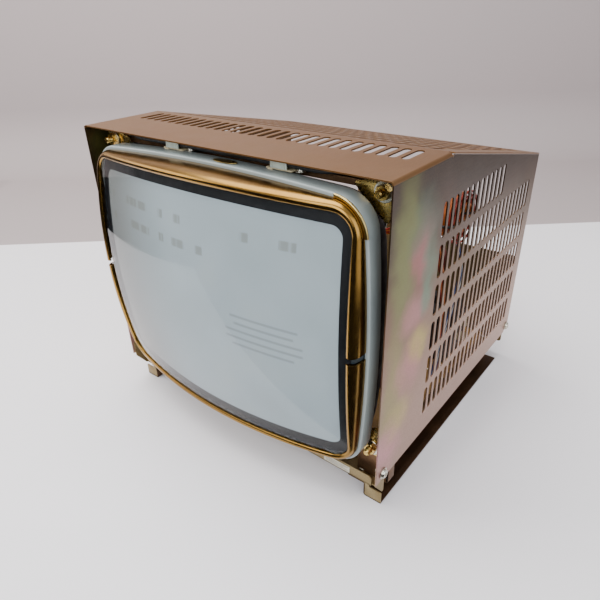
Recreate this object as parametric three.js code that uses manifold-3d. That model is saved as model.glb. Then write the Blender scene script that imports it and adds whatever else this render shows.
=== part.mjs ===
import * as THREE from 'three';
import Module from 'manifold-3d';

const wasm = await Module();
wasm.setup();

// Open-frame colour CRT monitor. Millimetres, +Z up, the screen faces -Y, the feet stand on z = 0.
// The y numbers below are counted from the front edge of the cover; Y_ORIGIN moves the middle of
// the whole length to y = 0 at the end.
const Y_ORIGIN = 139;
const GAP = 0.3;

// Cover: three sheets of passivated steel
const COVER_W = 340;
const COVER_T = 1.2;
const COVER_TOP_Z = 304;
const COVER_BOTTOM_Z = 36.8;
const COVER_RIDGE_Y = 87.3;
const COVER_REAR_Y = 312.5;
const COVER_REAR_Z = 256;
const SLOT_W = 6.4;
const SLOT_L = 29.5;
const SIDE_SLOT_PITCH = 10.4;
const SIDE_SLOT_FIRST_Y = 83.4;
const SIDE_SLOT_COLUMNS = 21;
const SIDE_SLOT_TOP_COLUMNS = 13;
const SIDE_SLOT_ROWS = 6;
const SIDE_ROW_TOP_Z = 253.3;
const ROW_PITCH = 35.5;
const TOP_SLOT_PITCH = 10.6;
const TOP_SLOT_COUNT = 29;
const TOP_SLOT_Y = 65.8;
const ROOF_ROWS = 6;
const ROOF_FIRST_ROW = 22;
const NOTCH_W = 5.6;
const SCREW_Z = 44.5;
const SCREW_FRONT_Y = 10.3;
const SCREW_REAR_Y = 306;
const SCREW_HEAD_R = 4.4;
const SCREW_HEAD_H = 3.2;
const SCREW_SHANK_R = 1.9;

// Base pan and feet
const SHEET_T = 1.2;
const PAN_Z = 16.4;
const PAN_HALF_W = 168.4;
const PAN_FRONT_Y = 14;
const PAN_REAR_Y = 309;
const LIP_HALF_W = 157;
const LIP_TOP_Z = 27.4;
const TAB_FRONT_Y = [2.2, 16.8];
const TAB_REAR_Y = [297, 309];
const TAB_TOP_Z = 52;
const TAB_HEEL_Z = 33;
const REAR_LEG_Z = 36.8;
const PAN_SIDE_X = 161;
const CORNER_WEB_TOP_Z = 35;
const FOOT_INNER_X = 149.4;
const FOOT_OUTER_X = 167.7;
const FOOT_FRONT_Y = 14.2;
const FOOT_REAR_Y = 295;
const FOOT_PLATE_Z = 13.4;
const FOOT_FLANGE_X = 132;
const FOOT_STRAP_W = 5.4;
const LABEL_X = [105, 134];
const LABEL_T = 0.3;
const LABEL_MARGIN = 2;
const POST_R = 4;
const POST_X = 135;
const POST_Y = [66, 292];
const REAR_PANEL_Y = 309.3;
const REAR_PANEL_HALF_W = 166.5;
const REAR_PANEL_TOP_Z = 136.5;

// Front frame that carries the tube
const FRAME_Y = 24;
const FRAME_T = 1.6;
const FRAME_OUTER_X = 168;
const FRAME_INNER_X = 156;
const FRAME_TOP_Z = 301.5;
const FRAME_RAIL_Z = [288.2, 293.2];
const FRAME_RAIL_DEPTH = 14;
const GUSSET_X = 136;
const GUSSET_H = 30;

// Picture tube, 370 mm class; all heights count from the tube axis
const TUBE_Z = 168.8;
const FACE_Y = -34.5;
const FACE_R = 565;
const FACE_GLASS_T = 12;
const SEAL_Y = 16;
const FACE_OUTLINE = { hx: 147.2, hz: 113.8, sx: 1.8, sz: 3.2, r: 18 };
const SKIRT_OUTLINE = { hx: 154, hz: 120.4, sx: 3.8, sz: 3.8, r: 25 };
const CAVITY_OUTLINE = { hx: 143, hz: 109, sx: 3, sz: 3.2, r: 22 };
const NECK_R = 14.55;
const NECK_GLASS_T = 1.8;
const NECK_START_Y = 216;
const NECK_END_Y = 283;
const CONE_RINGS = [[148, 52], [165, 42], [180, 32.5], [195, 24], [208, 17.6], [NECK_START_Y, NECK_R]];
const BULB_RINGS = [
  [SEAL_Y + GAP, 153, 119.4, 26],
  [38, 149, 115, 36],
  [66, 132, 102, 44],
  [92, 111, 87, 50],
  [120, 82, 70, 56],
];
const FUNNEL_T = 3.2;

// Rim shells, tape band, ears
const RIM_T = 1;
const RIM_REAR_Y = -1.9;
const RIM_OUTLINE = { hx: 156, hz: 122.2, sx: 4.2, sz: 4, r: 27 };
// Electron gun as [y, radius] steps
const GUN_PROFILE = [
  [232, 0], [232, 9.5], [244, 9.5], [244, 6], [250, 6], [250, 9], [266, 9], [266, 6.5], [279, 6.5], [279, 0],
];
const RIM_LIP_OUTLINE = { hx: 147.1, hz: 113.8, sx: 1.8, sz: 3.2, r: 18 };
const RIM_SPLIT = 3;
const BAND_OUTLINE = { hx: 158.3, hz: 125, sx: 4.2, sz: 4, r: 29 };
const BAND_T = 3.6;
const BAND_Y = [-1.5, 15];
const BOLT_X = 152.5;
const BOLT_Z = [289.5, 57.5];
const EAR_Y = 20;
const EAR_T = 2;
const STUD_R = 3;
const STUD_END_Y = 10;
const NUT_R = 5.8;
const NUT_Y = [15.4, 19.7];
const WASHER_R = 7.8;
const WASHER_T = 1.2;

// Degaussing coil
const COIL_R = 3.2;
const COIL_TOP_Y = 14;
const COIL_TOP_Z = 298.2;
const COIL_REAR_Y = 36;
const CLIP_X = [-52, 68];
const CLIP_FOOT_Z = 294.9;
const CLIP_WALL = 1.4;
const CLIP_W = 17;

// Deflection yoke and neck parts
const YOKE_CLEAR = 1.2;
const LINER_T = 1.6;
const LINER_Y = [151, 211];
const LINER_FLANGE_R = 66;
const LINER_TAIL_R = 34;
const WINDING_T = 6;
const WINDING_CLEAR = 1;
const CORE_Y = [166, 197];
const CORE_T = 9;
const CLAMP_Y = [216.8, 225.4];
const CLAMP_R = 21;
const SLEEVE_Y = [226.4, 262];
const SLEEVE_R = 17.2;
const RING_T = 1.6;
const RING_R = 27;
const RING_BORE_R = 17.5;
const RING_TAB_R = 37;
const SLEEVE_COLLARS_Y = [[226.4, 228.4], [234, 237.5], [244, 247.5], [254, 256.5]];
const RING_Y = [229, 231.1, 239, 241.1, 249, 251.1];
const RING_NAMES = ['two_pole_ring', 'four_pole_ring', 'six_pole_ring'];
const RING_TAB_ANGLES = [75, 105, 60, 120, 45, 135];
const SOCKET_Y = [284, 298.5];
const SOCKET_R = 19;
const NECK_BOARD_Y = 299;
const BOARD_T = 1.6;
const NECK_BOARD = { x0: -46, x1: 52, z0: 141, z1: 213 };

// Main board and what stands on it
const BOARD_Z = 27;
const BOARD_HALF_W = 146;
const BOARD_Y = [58, 300];
const FLYBACK = { x: 112, y: 232, w: 44, d: 46, h: 66 };
const KNOB_R = 6;
const KNOB_Z = [58, 78];
const ANODE = { y: 78, capR: 21, leadR: 2.4 };
const HEATSINK = { x: -128, y: 262, w: 40, d: 52, h: 62, fins: 5 };
const CAP_LARGE = { x: -62, y: 262, r: 17.5, h: 46 };

const finish = (name, color, metalness, roughness) => {
  const material = new THREE.MeshStandardMaterial({ color, metalness, roughness });
  material.name = name;
  return material;
};
const MAT = {
  coverSteel: finish('passivated_cover', 0xa08764, 0.75, 0.42),
  panSteel: finish('passivated_chassis', 0x8f7b52, 0.75, 0.45),
  rim: finish('gold_rim', 0xb98d42, 0.9, 0.3),
  band: finish('grey_band', 0x7d8786, 0.05, 0.5),
  zinc: finish('bright_zinc', 0xc9c4b2, 0.95, 0.28),
  brassy: finish('yellow_zinc', 0xc9a24a, 0.9, 0.3),
  face: finish('face_glass', 0x94a2a8, 0.0, 0.08),
  bulb: finish('bulb_coating', 0x2b2b2d, 0.1, 0.6),
  neckGlass: finish('neck_glass', 0xb9c4c2, 0.0, 0.1),
  mask: finish('mask_steel', 0x55585a, 0.8, 0.5),
  black: finish('black_plastic', 0x1b1b1c, 0.0, 0.5),
  white: finish('white_plastic', 0xd8dad2, 0.0, 0.45),
  cream: finish('cream_plastic', 0xc9bd9a, 0.0, 0.5),
  tape: finish('black_tape', 0x202024, 0.0, 0.6),
  ferrite: finish('ferrite', 0x3a3634, 0.1, 0.7),
  copper: finish('enamelled_copper', 0x9c4a20, 0.6, 0.35),
  board: finish('circuit_board', 0x8a6a35, 0.0, 0.6),
  rubber: finish('red_rubber', 0x6b2a22, 0.0, 0.7),
  alloy: finish('heatsink_alloy', 0xa6a8aa, 0.9, 0.4),
  label: finish('blank_label', 0xd9d6c6, 0.0, 0.6),
};

const model = new THREE.Group();
model.name = 'crt_monitor';

function add(name, geometry, material) {
  const placed = geometry.clone();
  placed.translate(0, -Y_ORIGIN, 0);
  const mesh = new THREE.Mesh(placed, material);
  mesh.name = name;
  model.add(mesh);
}

// ---- solid helpers -------------------------------------------------------------------------

function mergeByPosition(geometry) {
  const source = geometry.index ? geometry.toNonIndexed() : geometry;
  const position = source.getAttribute('position');
  const seen = new Map();
  const vertices = [];
  const triangles = [];
  for (let i = 0; i < position.count; i += 3) {
    const corner = [0, 1, 2].map((k) => {
      const p = [position.getX(i + k), position.getY(i + k), position.getZ(i + k)];
      const key = p.map((v) => Math.round(v * 1e4)).join(',');
      if (!seen.has(key)) {
        seen.set(key, vertices.length / 3);
        vertices.push(...p);
      }
      return seen.get(key);
    });
    if (corner[0] !== corner[1] && corner[1] !== corner[2] && corner[0] !== corner[2]) {
      triangles.push(...corner);
    }
  }
  return { vertices, triangles };
}

function toSolid(geometry) {
  const { vertices, triangles } = mergeByPosition(geometry);
  return new wasm.Manifold(new wasm.Mesh({
    numProp: 3,
    vertProperties: Float32Array.from(vertices),
    triVerts: Uint32Array.from(triangles),
  }));
}

function toGeometry(solid) {
  const mesh = solid.getMesh();
  const geometry = new THREE.BufferGeometry();
  geometry.setAttribute('position', new THREE.BufferAttribute(Float32Array.from(mesh.vertProperties), 3));
  geometry.setIndex(new THREE.BufferAttribute(Uint32Array.from(mesh.triVerts), 1));
  const flat = geometry.toNonIndexed();
  flat.computeVertexNormals();
  return flat;
}

const union = (...geometries) => toGeometry(wasm.Manifold.union(geometries.map(toSolid)));
const subtract = (geometry, ...cutters) =>
  toGeometry(wasm.Manifold.difference([toSolid(geometry), ...cutters.map(toSolid)]));

function box(x0, x1, y0, y1, z0, z1) {
  const geometry = new THREE.BoxGeometry(x1 - x0, y1 - y0, z1 - z0);
  geometry.translate((x0 + x1) / 2, (y0 + y1) / 2, (z0 + z1) / 2);
  return geometry;
}

function mirrorX(geometry) {
  const copy = geometry.index ? geometry.toNonIndexed() : geometry.clone();
  const position = copy.getAttribute('position');
  for (let i = 0; i < position.count; i += 3) {
    const a = [position.getX(i), position.getY(i), position.getZ(i)];
    const b = [position.getX(i + 1), position.getY(i + 1), position.getZ(i + 1)];
    position.setXYZ(i, -b[0], b[1], b[2]);
    position.setXYZ(i + 1, -a[0], a[1], a[2]);
    position.setX(i + 2, -position.getX(i + 2));
  }
  copy.computeVertexNormals();
  return copy;
}

function polygon(points) {
  return new THREE.Shape(points.map(([u, v]) => new THREE.Vector2(u, v)));
}

function extrude(shape, depth, curveSegments = 12) {
  return new THREE.ExtrudeGeometry(shape, { depth, bevelEnabled: false, curveSegments });
}

// A plate drawn in (y, z) that runs from x0 towards +X
function plateYZ(shape, x0, thickness) {
  const geometry = extrude(shape, thickness);
  const basis = new THREE.Matrix4().makeBasis(
    new THREE.Vector3(0, 1, 0), new THREE.Vector3(0, 0, 1), new THREE.Vector3(1, 0, 0));
  geometry.applyMatrix4(basis);
  geometry.translate(x0, 0, 0);
  return geometry;
}

// A plate drawn in (x, z) that runs from y0 towards +Y
function plateXZ(shape, y0, thickness) {
  const geometry = extrude(shape, thickness);
  const basis = new THREE.Matrix4().makeBasis(
    new THREE.Vector3(1, 0, 0), new THREE.Vector3(0, 0, 1), new THREE.Vector3(0, -1, 0));
  geometry.applyMatrix4(basis);
  geometry.translate(0, y0 + thickness, 0);
  return geometry;
}

// A turned body about an axis along Y through (x, z); the profile is [y, radius] pairs
function turnedY(profile, x, z, segments = 32) {
  const geometry = new THREE.LatheGeometry(profile.map(([y, r]) => new THREE.Vector2(r, y)), segments);
  geometry.translate(x, 0, z);
  return geometry;
}

// The same body about an axis along Z or X
function turnedZ(profile, x, y, segments = 24) {
  const geometry = new THREE.LatheGeometry(profile.map(([z, r]) => new THREE.Vector2(r, z)), segments);
  geometry.rotateX(Math.PI / 2);
  geometry.translate(x, y, 0);
  return geometry;
}

function turnedX(profile, y, z, segments = 20) {
  const geometry = new THREE.LatheGeometry(profile.map(([x, r]) => new THREE.Vector2(r, x)), segments);
  geometry.rotateZ(-Math.PI / 2);
  geometry.translate(0, y, z);
  return geometry;
}

// ---- outlines and lofts --------------------------------------------------------------------

// A rounded rectangle with bowed sides as a full turn of points: hx, hz are the half sizes at mid side,
// sx, sz how far the corners fall back, r the corner radius.
function outline({ hx, hz, sx, sz, r }, sideSteps = 3, cornerSteps = 4) {
  const a = hx - r;
  const b = hz - r;
  const ax = a - sx;
  const bz = b - sz;
  const radiusX = (bz * bz + sx * sx) / (2 * sx);
  const radiusZ = (ax * ax + sz * sz) / (2 * sz);
  const alpha = Math.asin(bz / radiusX);
  const beta = Math.asin(ax / radiusZ);
  const quarter = [];
  for (let i = 0; i < sideSteps; i += 1) {
    const t = (alpha * i) / sideSteps;
    quarter.push([a - radiusX + (radiusX + r) * Math.cos(t), (radiusX + r) * Math.sin(t)]);
  }
  for (let i = 0; i <= cornerSteps; i += 1) {
    const t = alpha + ((Math.PI / 2 - beta - alpha) * i) / cornerSteps;
    quarter.push([ax + r * Math.cos(t), bz + r * Math.sin(t)]);
  }
  for (let i = 1; i < sideSteps; i += 1) {
    const t = beta * (1 - i / sideSteps);
    quarter.push([(radiusZ + r) * Math.sin(t), b - radiusZ + (radiusZ + r) * Math.cos(t)]);
  }
  const full = [];
  quarter.forEach((p) => full.push(p));
  full.push([0, hz]);
  quarter.slice(1).reverse().forEach(([x, z]) => full.push([-x, z]));
  full.push([-hx, 0]);
  quarter.slice(1).forEach(([x, z]) => full.push([-x, -z]));
  full.push([0, -hz]);
  quarter.slice(1).reverse().forEach(([x, z]) => full.push([x, -z]));
  return full;
}

const faceY = (x, z) => FACE_Y + FACE_R - Math.sqrt(FACE_R * FACE_R - x * x - z * z);

// Rings are lists of [x, y, z] points, all of one length. With wrap the last ring joins the first.
function loft(rings, wrap = false) {
  const n = rings[0].length;
  const positions = [];
  const quad = (a, b, c, d) => positions.push(...a, ...c, ...b, ...a, ...d, ...c);
  const count = wrap ? rings.length : rings.length - 1;
  for (let r = 0; r < count; r += 1) {
    const lower = rings[r];
    const upper = rings[(r + 1) % rings.length];
    for (let i = 0; i < n; i += 1) {
      quad(lower[i], lower[(i + 1) % n], upper[(i + 1) % n], upper[i]);
    }
  }
  const geometry = new THREE.BufferGeometry();
  geometry.setAttribute('position', new THREE.Float32BufferAttribute(positions, 3));
  geometry.computeVertexNormals();
  return geometry;
}

function joinFaces(...geometries) {
  const positions = [];
  geometries.forEach((g) => {
    const source = g.index ? g.toNonIndexed() : g;
    positions.push(...source.getAttribute('position').array);
  });
  const geometry = new THREE.BufferGeometry();
  geometry.setAttribute('position', new THREE.Float32BufferAttribute(positions, 3));
  geometry.computeVertexNormals();
  return geometry;
}

// A fan from one point to a ring; flip turns it over
function fan(centre, ring, flip) {
  const positions = [];
  ring.forEach((p, i) => {
    const q = ring[(i + 1) % ring.length];
    positions.push(...centre, ...(flip ? p : q), ...(flip ? q : p));
  });
  const geometry = new THREE.BufferGeometry();
  geometry.setAttribute('position', new THREE.Float32BufferAttribute(positions, 3));
  geometry.computeVertexNormals();
  return geometry;
}

// Closes the end of a loft whose ring is two facing rows of points, such as a sheet's section
function stripCap(ring, flip) {
  const positions = [];
  for (let i = 0; i < ring.length / 2 - 1; i += 1) {
    const [a, b] = [ring[i], ring[i + 1]];
    const [c, d] = [ring[ring.length - 2 - i], ring[ring.length - 1 - i]];
    positions.push(...(flip ? [a, c, b, a, d, c] : [a, b, c, a, c, d]).flat());
  }
  const geometry = new THREE.BufferGeometry();
  geometry.setAttribute('position', new THREE.Float32BufferAttribute(positions, 3));
  return geometry;
}

// A domed glass wall: concentric rings of an outline that follow the face sphere
function domeRings(shape, offset, scales) {
  return scales.map((s) => outline(shape).map(([x, z]) => [x * s, faceY(x * s, z * s) + offset, z * s]));
}

const atTube = (geometry) => {
  geometry.translate(0, 0, TUBE_Z);
  return geometry;
};

// ---- cover ---------------------------------------------------------------------------------

const coverInnerX = COVER_W / 2 - COVER_T;
const roofSlope = Math.atan2(COVER_TOP_Z - COVER_REAR_Z, COVER_REAR_Y - COVER_RIDGE_Y);

function coverSide() {
  const below = COVER_T + GAP;
  const shape = polygon([
    [0, COVER_BOTTOM_Z],
    [SCREW_FRONT_Y - NOTCH_W / 2, COVER_BOTTOM_Z],
    [SCREW_FRONT_Y - NOTCH_W / 2, SCREW_Z + NOTCH_W / 2],
    [SCREW_FRONT_Y + NOTCH_W / 2, SCREW_Z + NOTCH_W / 2],
    [SCREW_FRONT_Y + NOTCH_W / 2, COVER_BOTTOM_Z],
    [SCREW_REAR_Y - NOTCH_W / 2, COVER_BOTTOM_Z],
    [SCREW_REAR_Y - NOTCH_W / 2, SCREW_Z + NOTCH_W / 2],
    [SCREW_REAR_Y + NOTCH_W / 2, SCREW_Z + NOTCH_W / 2],
    [SCREW_REAR_Y + NOTCH_W / 2, COVER_BOTTOM_Z],
    [COVER_REAR_Y, COVER_BOTTOM_Z],
    [COVER_REAR_Y, COVER_REAR_Z - below],
    [COVER_RIDGE_Y, COVER_TOP_Z - below],
    [0, COVER_TOP_Z - below],
  ]);
  const cutters = [];
  for (let row = 0; row < SIDE_SLOT_ROWS; row += 1) {
    const columns = row === 0 ? SIDE_SLOT_TOP_COLUMNS : SIDE_SLOT_COLUMNS;
    const z = SIDE_ROW_TOP_Z - row * ROW_PITCH;
    for (let column = 0; column < columns; column += 1) {
      const y = SIDE_SLOT_FIRST_Y + column * SIDE_SLOT_PITCH;
      cutters.push(box(coverInnerX - 1, coverInnerX + COVER_T + 1,
        y - SLOT_W / 2, y + SLOT_W / 2, z - SLOT_L / 2, z + SLOT_L / 2));
    }
  }
  return subtract(plateYZ(shape, coverInnerX, COVER_T), ...cutters);
}

function coverTop() {
  const thicknessZ = COVER_T / Math.cos(roofSlope);
  const profile = polygon([
    [0, COVER_TOP_Z - COVER_T],
    [COVER_RIDGE_Y - COVER_T * Math.tan(roofSlope / 2), COVER_TOP_Z - COVER_T],
    [COVER_REAR_Y, COVER_REAR_Z - thicknessZ],
    [COVER_REAR_Y, COVER_REAR_Z],
    [COVER_RIDGE_Y, COVER_TOP_Z],
    [0, COVER_TOP_Z],
  ]);
  const sheet = plateYZ(profile, -COVER_W / 2, COVER_W);
  const cutters = [];
  for (let column = 0; column < TOP_SLOT_COUNT; column += 1) {
    const x = (column - (TOP_SLOT_COUNT - 1) / 2) * TOP_SLOT_PITCH;
    const x0 = x - SLOT_W / 2;
    const x1 = x + SLOT_W / 2;
    const y0 = TOP_SLOT_Y - SLOT_L / 2;
    cutters.push(box(x0, x1, y0, y0 + SLOT_L, COVER_TOP_Z - 4, COVER_TOP_Z + 4));
    for (let row = 0; row < ROOF_ROWS; row += 1) {
      const along = ROOF_FIRST_ROW + row * ROW_PITCH;
      const cutter = box(x0, x1, along - SLOT_L / 2, along + SLOT_L / 2, -4, 4);
      cutter.rotateX(-roofSlope);
      cutter.translate(0, COVER_RIDGE_Y, COVER_TOP_Z);
      cutters.push(cutter);
    }
  }
  return subtract(sheet, ...cutters);
}

const side = coverSide();
add('cover_top', coverTop(), MAT.coverSteel);
add('cover_side_right', side, MAT.coverSteel);
add('cover_side_left', mirrorX(side), MAT.coverSteel);

// A cover screw: pan head outside the cover, shank through the notch into the pan tab
function coverScrew(y) {
  const x0 = COVER_W / 2 + GAP;
  return turnedX([
    [coverInnerX - 6, 0],
    [coverInnerX - 6, SCREW_SHANK_R],
    [x0, SCREW_SHANK_R],
    [x0, SCREW_HEAD_R],
    [x0 + SCREW_HEAD_H * 0.5, SCREW_HEAD_R],
    [x0 + SCREW_HEAD_H, SCREW_HEAD_R * 0.5],
    [x0 + SCREW_HEAD_H, 0],
  ], y, SCREW_Z, 10);
}

[['front', SCREW_FRONT_Y], ['rear', SCREW_REAR_Y]].forEach(([place, y]) => {
  const screw = coverScrew(y);
  add(`cover_screw_${place}_left`, mirrorX(screw), MAT.zinc);
  add(`cover_screw_${place}_right`, screw, MAT.zinc);
});

// ---- base pan, feet, rear panel --------------------------------------------------------------

// The corner tabs carry the cover screws. A small web faces forward beside each front tab,
// and each rear tab is stepped out from the pan on a short leg.
function basePan() {
  const t = SHEET_T;
  const top = PAN_Z + t;
  const tabInner = PAN_HALF_W - t;
  const webInner = PAN_SIDE_X + 1;
  const [tabFront, tabBack] = TAB_FRONT_Y;
  const frontTab = plateYZ(polygon([
    [tabBack - 2 * t, PAN_Z],
    [tabBack, PAN_Z],
    [tabBack, TAB_TOP_Z],
    [tabFront, TAB_TOP_Z],
    [tabFront, TAB_HEEL_Z],
  ]), tabInner, t);
  const [rearFront, rearBack] = TAB_REAR_Y;
  const rearTab = union(
    box(PAN_SIDE_X - t, PAN_SIDE_X, rearFront, rearBack, PAN_Z, REAR_LEG_Z + t),
    box(PAN_SIDE_X - t, PAN_HALF_W, rearFront, rearBack, REAR_LEG_Z, REAR_LEG_Z + t),
    box(tabInner, PAN_HALF_W, rearFront, rearBack, REAR_LEG_Z, TAB_TOP_Z));
  const parts = [
    box(-LIP_HALF_W, LIP_HALF_W, PAN_FRONT_Y, PAN_REAR_Y, PAN_Z, top),
    box(-PAN_SIDE_X, PAN_SIDE_X, tabBack - t, rearBack, PAN_Z, top),
    box(-PAN_HALF_W, PAN_HALF_W, tabBack - t, tabBack, PAN_Z, top),
    box(-LIP_HALF_W, LIP_HALF_W, PAN_FRONT_Y, PAN_FRONT_Y + t, PAN_Z, LIP_TOP_Z),
    box(webInner, PAN_HALF_W, tabBack - t, tabBack, PAN_Z, CORNER_WEB_TOP_Z),
    box(-PAN_HALF_W, -webInner, tabBack - t, tabBack, PAN_Z, CORNER_WEB_TOP_Z),
    frontTab,
    mirrorX(frontTab.clone()),
    rearTab,
    mirrorX(rearTab.clone()),
  ];
  const post = [
    [PAN_Z + 0.4, 0],
    [PAN_Z + 0.4, POST_R],
    [BOARD_Z - GAP, POST_R],
    [BOARD_Z - GAP, 0],
  ];
  [-POST_X, POST_X].forEach((x) => POST_Y.forEach((y) => parts.push(turnedZ(post, x, y, 12))));
  const r = SCREW_SHANK_R + GAP;
  const boreProfile = [[tabInner - 2, 0], [tabInner - 2, r], [PAN_HALF_W + 2, r], [PAN_HALF_W + 2, 0]];
  const bores = [SCREW_FRONT_Y, SCREW_REAR_Y].flatMap((y) => {
    const bore = turnedX(boreProfile, y, SCREW_Z, 16);
    return [bore, mirrorX(bore.clone())];
  });
  return subtract(union(...parts), ...bores);
}

// A foot: Z-shaped channel with its floor flange outwards and a front end plate
function foot() {
  const t = SHEET_T;
  const top = PAN_Z - GAP;
  const profile = [
    box(FOOT_FLANGE_X, FOOT_INNER_X + t, FOOT_FRONT_Y, FOOT_REAR_Y, top - t, top),
    box(FOOT_INNER_X, FOOT_INNER_X + t, FOOT_FRONT_Y, FOOT_REAR_Y, 0, top),
    box(FOOT_INNER_X, FOOT_OUTER_X, FOOT_FRONT_Y, FOOT_REAR_Y, 0, t),
    box(FOOT_INNER_X, FOOT_OUTER_X, FOOT_FRONT_Y, FOOT_FRONT_Y + t, 0, FOOT_PLATE_Z),
    box(FOOT_INNER_X, FOOT_INNER_X + FOOT_STRAP_W, FOOT_FRONT_Y, FOOT_FRONT_Y + t, 0, top),
  ];
  return union(...profile);
}

add('base_pan', basePan(), MAT.panSteel);
add('foot_right', foot(), MAT.panSteel);
add('foot_left', mirrorX(foot()), MAT.panSteel);

const labelY = PAN_FRONT_Y - GAP;
const labelZ = [PAN_Z + LABEL_MARGIN, LIP_TOP_Z - LABEL_MARGIN];
add('lip_label', box(...LABEL_X, labelY - LABEL_T, labelY, ...labelZ), MAT.label);

const rearBottomZ = PAN_Z + SHEET_T + GAP;
const POWER_INLET = { x: -104, z: 84, w: 30, h: 24 };
const SIGNAL_SOCKET = { x: 40, z: 84, w: 46, h: 14 };

function rearPanel() {
  const y1 = REAR_PANEL_Y + SHEET_T;
  const sheet = box(-REAR_PANEL_HALF_W, REAR_PANEL_HALF_W, REAR_PANEL_Y, y1, rearBottomZ, REAR_PANEL_TOP_Z);
  const cutOuts = [POWER_INLET, SIGNAL_SOCKET].map(({ x, z, w, h }) =>
    box(x - w / 2, x + w / 2, REAR_PANEL_Y - 1, y1 + 1, z - h / 2, z + h / 2));
  return subtract(sheet, ...cutOuts);
}

// A panel connector: a body through the cut-out and a thin flange outside it
function panelConnector({ x, z, w, h }, depth, wall) {
  const y0 = REAR_PANEL_Y - depth;
  const y1 = REAR_PANEL_Y + SHEET_T + GAP + 1.4;
  const inset = GAP;
  const body = box(x - w / 2 + inset, x + w / 2 - inset, y0, y1, z - h / 2 + inset, z + h / 2 - inset);
  const flange = box(x - w / 2 - 3, x + w / 2 + 3, y1 - 1.4, y1, z - h / 2 - 3, z + h / 2 + 3);
  const mouthHalfW = w / 2 - wall;
  const mouthHalfH = h / 2 - wall;
  const mouth = box(x - mouthHalfW, x + mouthHalfW, y1 - depth * 0.6, y1 + 1, z - mouthHalfH, z + mouthHalfH);
  return subtract(union(body, flange), mouth);
}

add('rear_panel', rearPanel(), MAT.panSteel);
add('power_inlet', panelConnector(POWER_INLET, 18, 3), MAT.black);
add('signal_socket', panelConnector(SIGNAL_SOCKET, 12, 2.4), MAT.black);

// ---- front frame ------------------------------------------------------------------------------

// A round cutter along Y through the plane y
const drill = (x, z, r, y, depth, segments = 16) =>
  turnedY([[y - depth, 0], [y - depth, r], [y + depth, r], [y + depth, 0]], x, z, segments);

function upright() {
  const z0 = PAN_Z + SHEET_T + GAP;
  const shape = polygon([
    [GUSSET_X, z0],
    [FRAME_OUTER_X, z0],
    [FRAME_OUTER_X, FRAME_TOP_Z],
    [GUSSET_X, FRAME_TOP_Z],
    [GUSSET_X, BOLT_Z[0] + 3],
    [FRAME_INNER_X, BOLT_Z[0] - GUSSET_H + 8],
    [FRAME_INNER_X, BOLT_Z[1] + GUSSET_H - 8],
    [GUSSET_X, BOLT_Z[1] - 5],
  ]);
  const sheet = plateXZ(shape, FRAME_Y, FRAME_T);
  const flange = box(FRAME_OUTER_X - FRAME_T, FRAME_OUTER_X, FRAME_Y, FRAME_Y + 12, z0, FRAME_TOP_Z);
  const studProfile = [
    [STUD_END_Y, 0],
    [STUD_END_Y, STUD_R * 0.75],
    [STUD_END_Y + 1, STUD_R],
    [FRAME_Y + 0.6, STUD_R],
    [FRAME_Y + 0.6, 0],
  ];
  const studs = BOLT_Z.map((z) => turnedY(studProfile, BOLT_X, z, 12));
  return union(sheet, flange, ...studs);
}

function frameRail() {
  const x = GUSSET_X - GAP;
  const shelf = x - 31;
  return union(
    box(-x, x, FRAME_Y, FRAME_Y + FRAME_T, FRAME_RAIL_Z[0], FRAME_RAIL_Z[1]),
    box(-shelf, shelf, FRAME_Y, FRAME_Y + FRAME_RAIL_DEPTH, FRAME_RAIL_Z[1] - FRAME_T, FRAME_RAIL_Z[1]));
}

add('front_frame_right', upright(), MAT.panSteel);
add('front_frame_left', mirrorX(upright()), MAT.panSteel);
add('front_frame_rail', frameRail(), MAT.panSteel);

// ---- picture tube -----------------------------------------------------------------------------

function tubePanel() {
  const scales = [0.3, 0.68, 1];
  const outer = domeRings(FACE_OUTLINE, 0, scales);
  const edge = outline(FACE_OUTLINE);
  const blend = (k, dy) => outline(SKIRT_OUTLINE).map(([x, z], i) => {
    const [ex, ez] = edge[i];
    return [ex + (x - ex) * k, faceY(ex, ez) + dy, ez + (z - ez) * k];
  });
  const skirt = outline(SKIRT_OUTLINE).map(([x, z]) => [x, SEAL_Y, z]);
  const inner = domeRings(CAVITY_OUTLINE, FACE_GLASS_T, scales);
  const mouth = outline(CAVITY_OUTLINE).map(([x, z]) => [x, SEAL_Y, z]);
  const rings = [...outer, blend(0.6, 1.6), blend(0.92, 4.5), skirt, mouth, ...inner.slice().reverse()];
  const wall = loft(rings);
  const front = fan([0, FACE_Y, 0], outer[0], true);
  const back = fan([0, FACE_Y + FACE_GLASS_T, 0], inner[0], false);
  return atTube(joinFaces(wall, front, back));
}

function ringAt(y, hx, hz, r) {
  const sag = (half) => Math.max(0.05, (half - r) * 0.03 + 0.05);
  return outline({ hx, hz, sx: sag(hx), sz: sag(hz), r }).map(([x, z]) => [x, y, z]);
}

// Round rings use the same point count as the outlines
function roundRing(y, radius) {
  return outline(SKIRT_OUTLINE).map(([x, z]) => {
    const t = Math.atan2(z, x);
    return [radius * Math.cos(t), y, radius * Math.sin(t)];
  });
}

function funnelRings(inset) {
  const bulb = BULB_RINGS.map(([y, hx, hz, r]) => ringAt(y, hx - inset, hz - inset, r - inset));
  const cone = CONE_RINGS.map(([y, r]) => roundRing(y, r - inset));
  return [...bulb, ...cone];
}

function tubeFunnel() {
  const outer = funnelRings(0);
  const inner = funnelRings(FUNNEL_T);
  inner[inner.length - 1] = roundRing(NECK_START_Y, NECK_R - NECK_GLASS_T);
  return atTube(loft([...outer, ...inner.reverse()], true));
}

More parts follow.
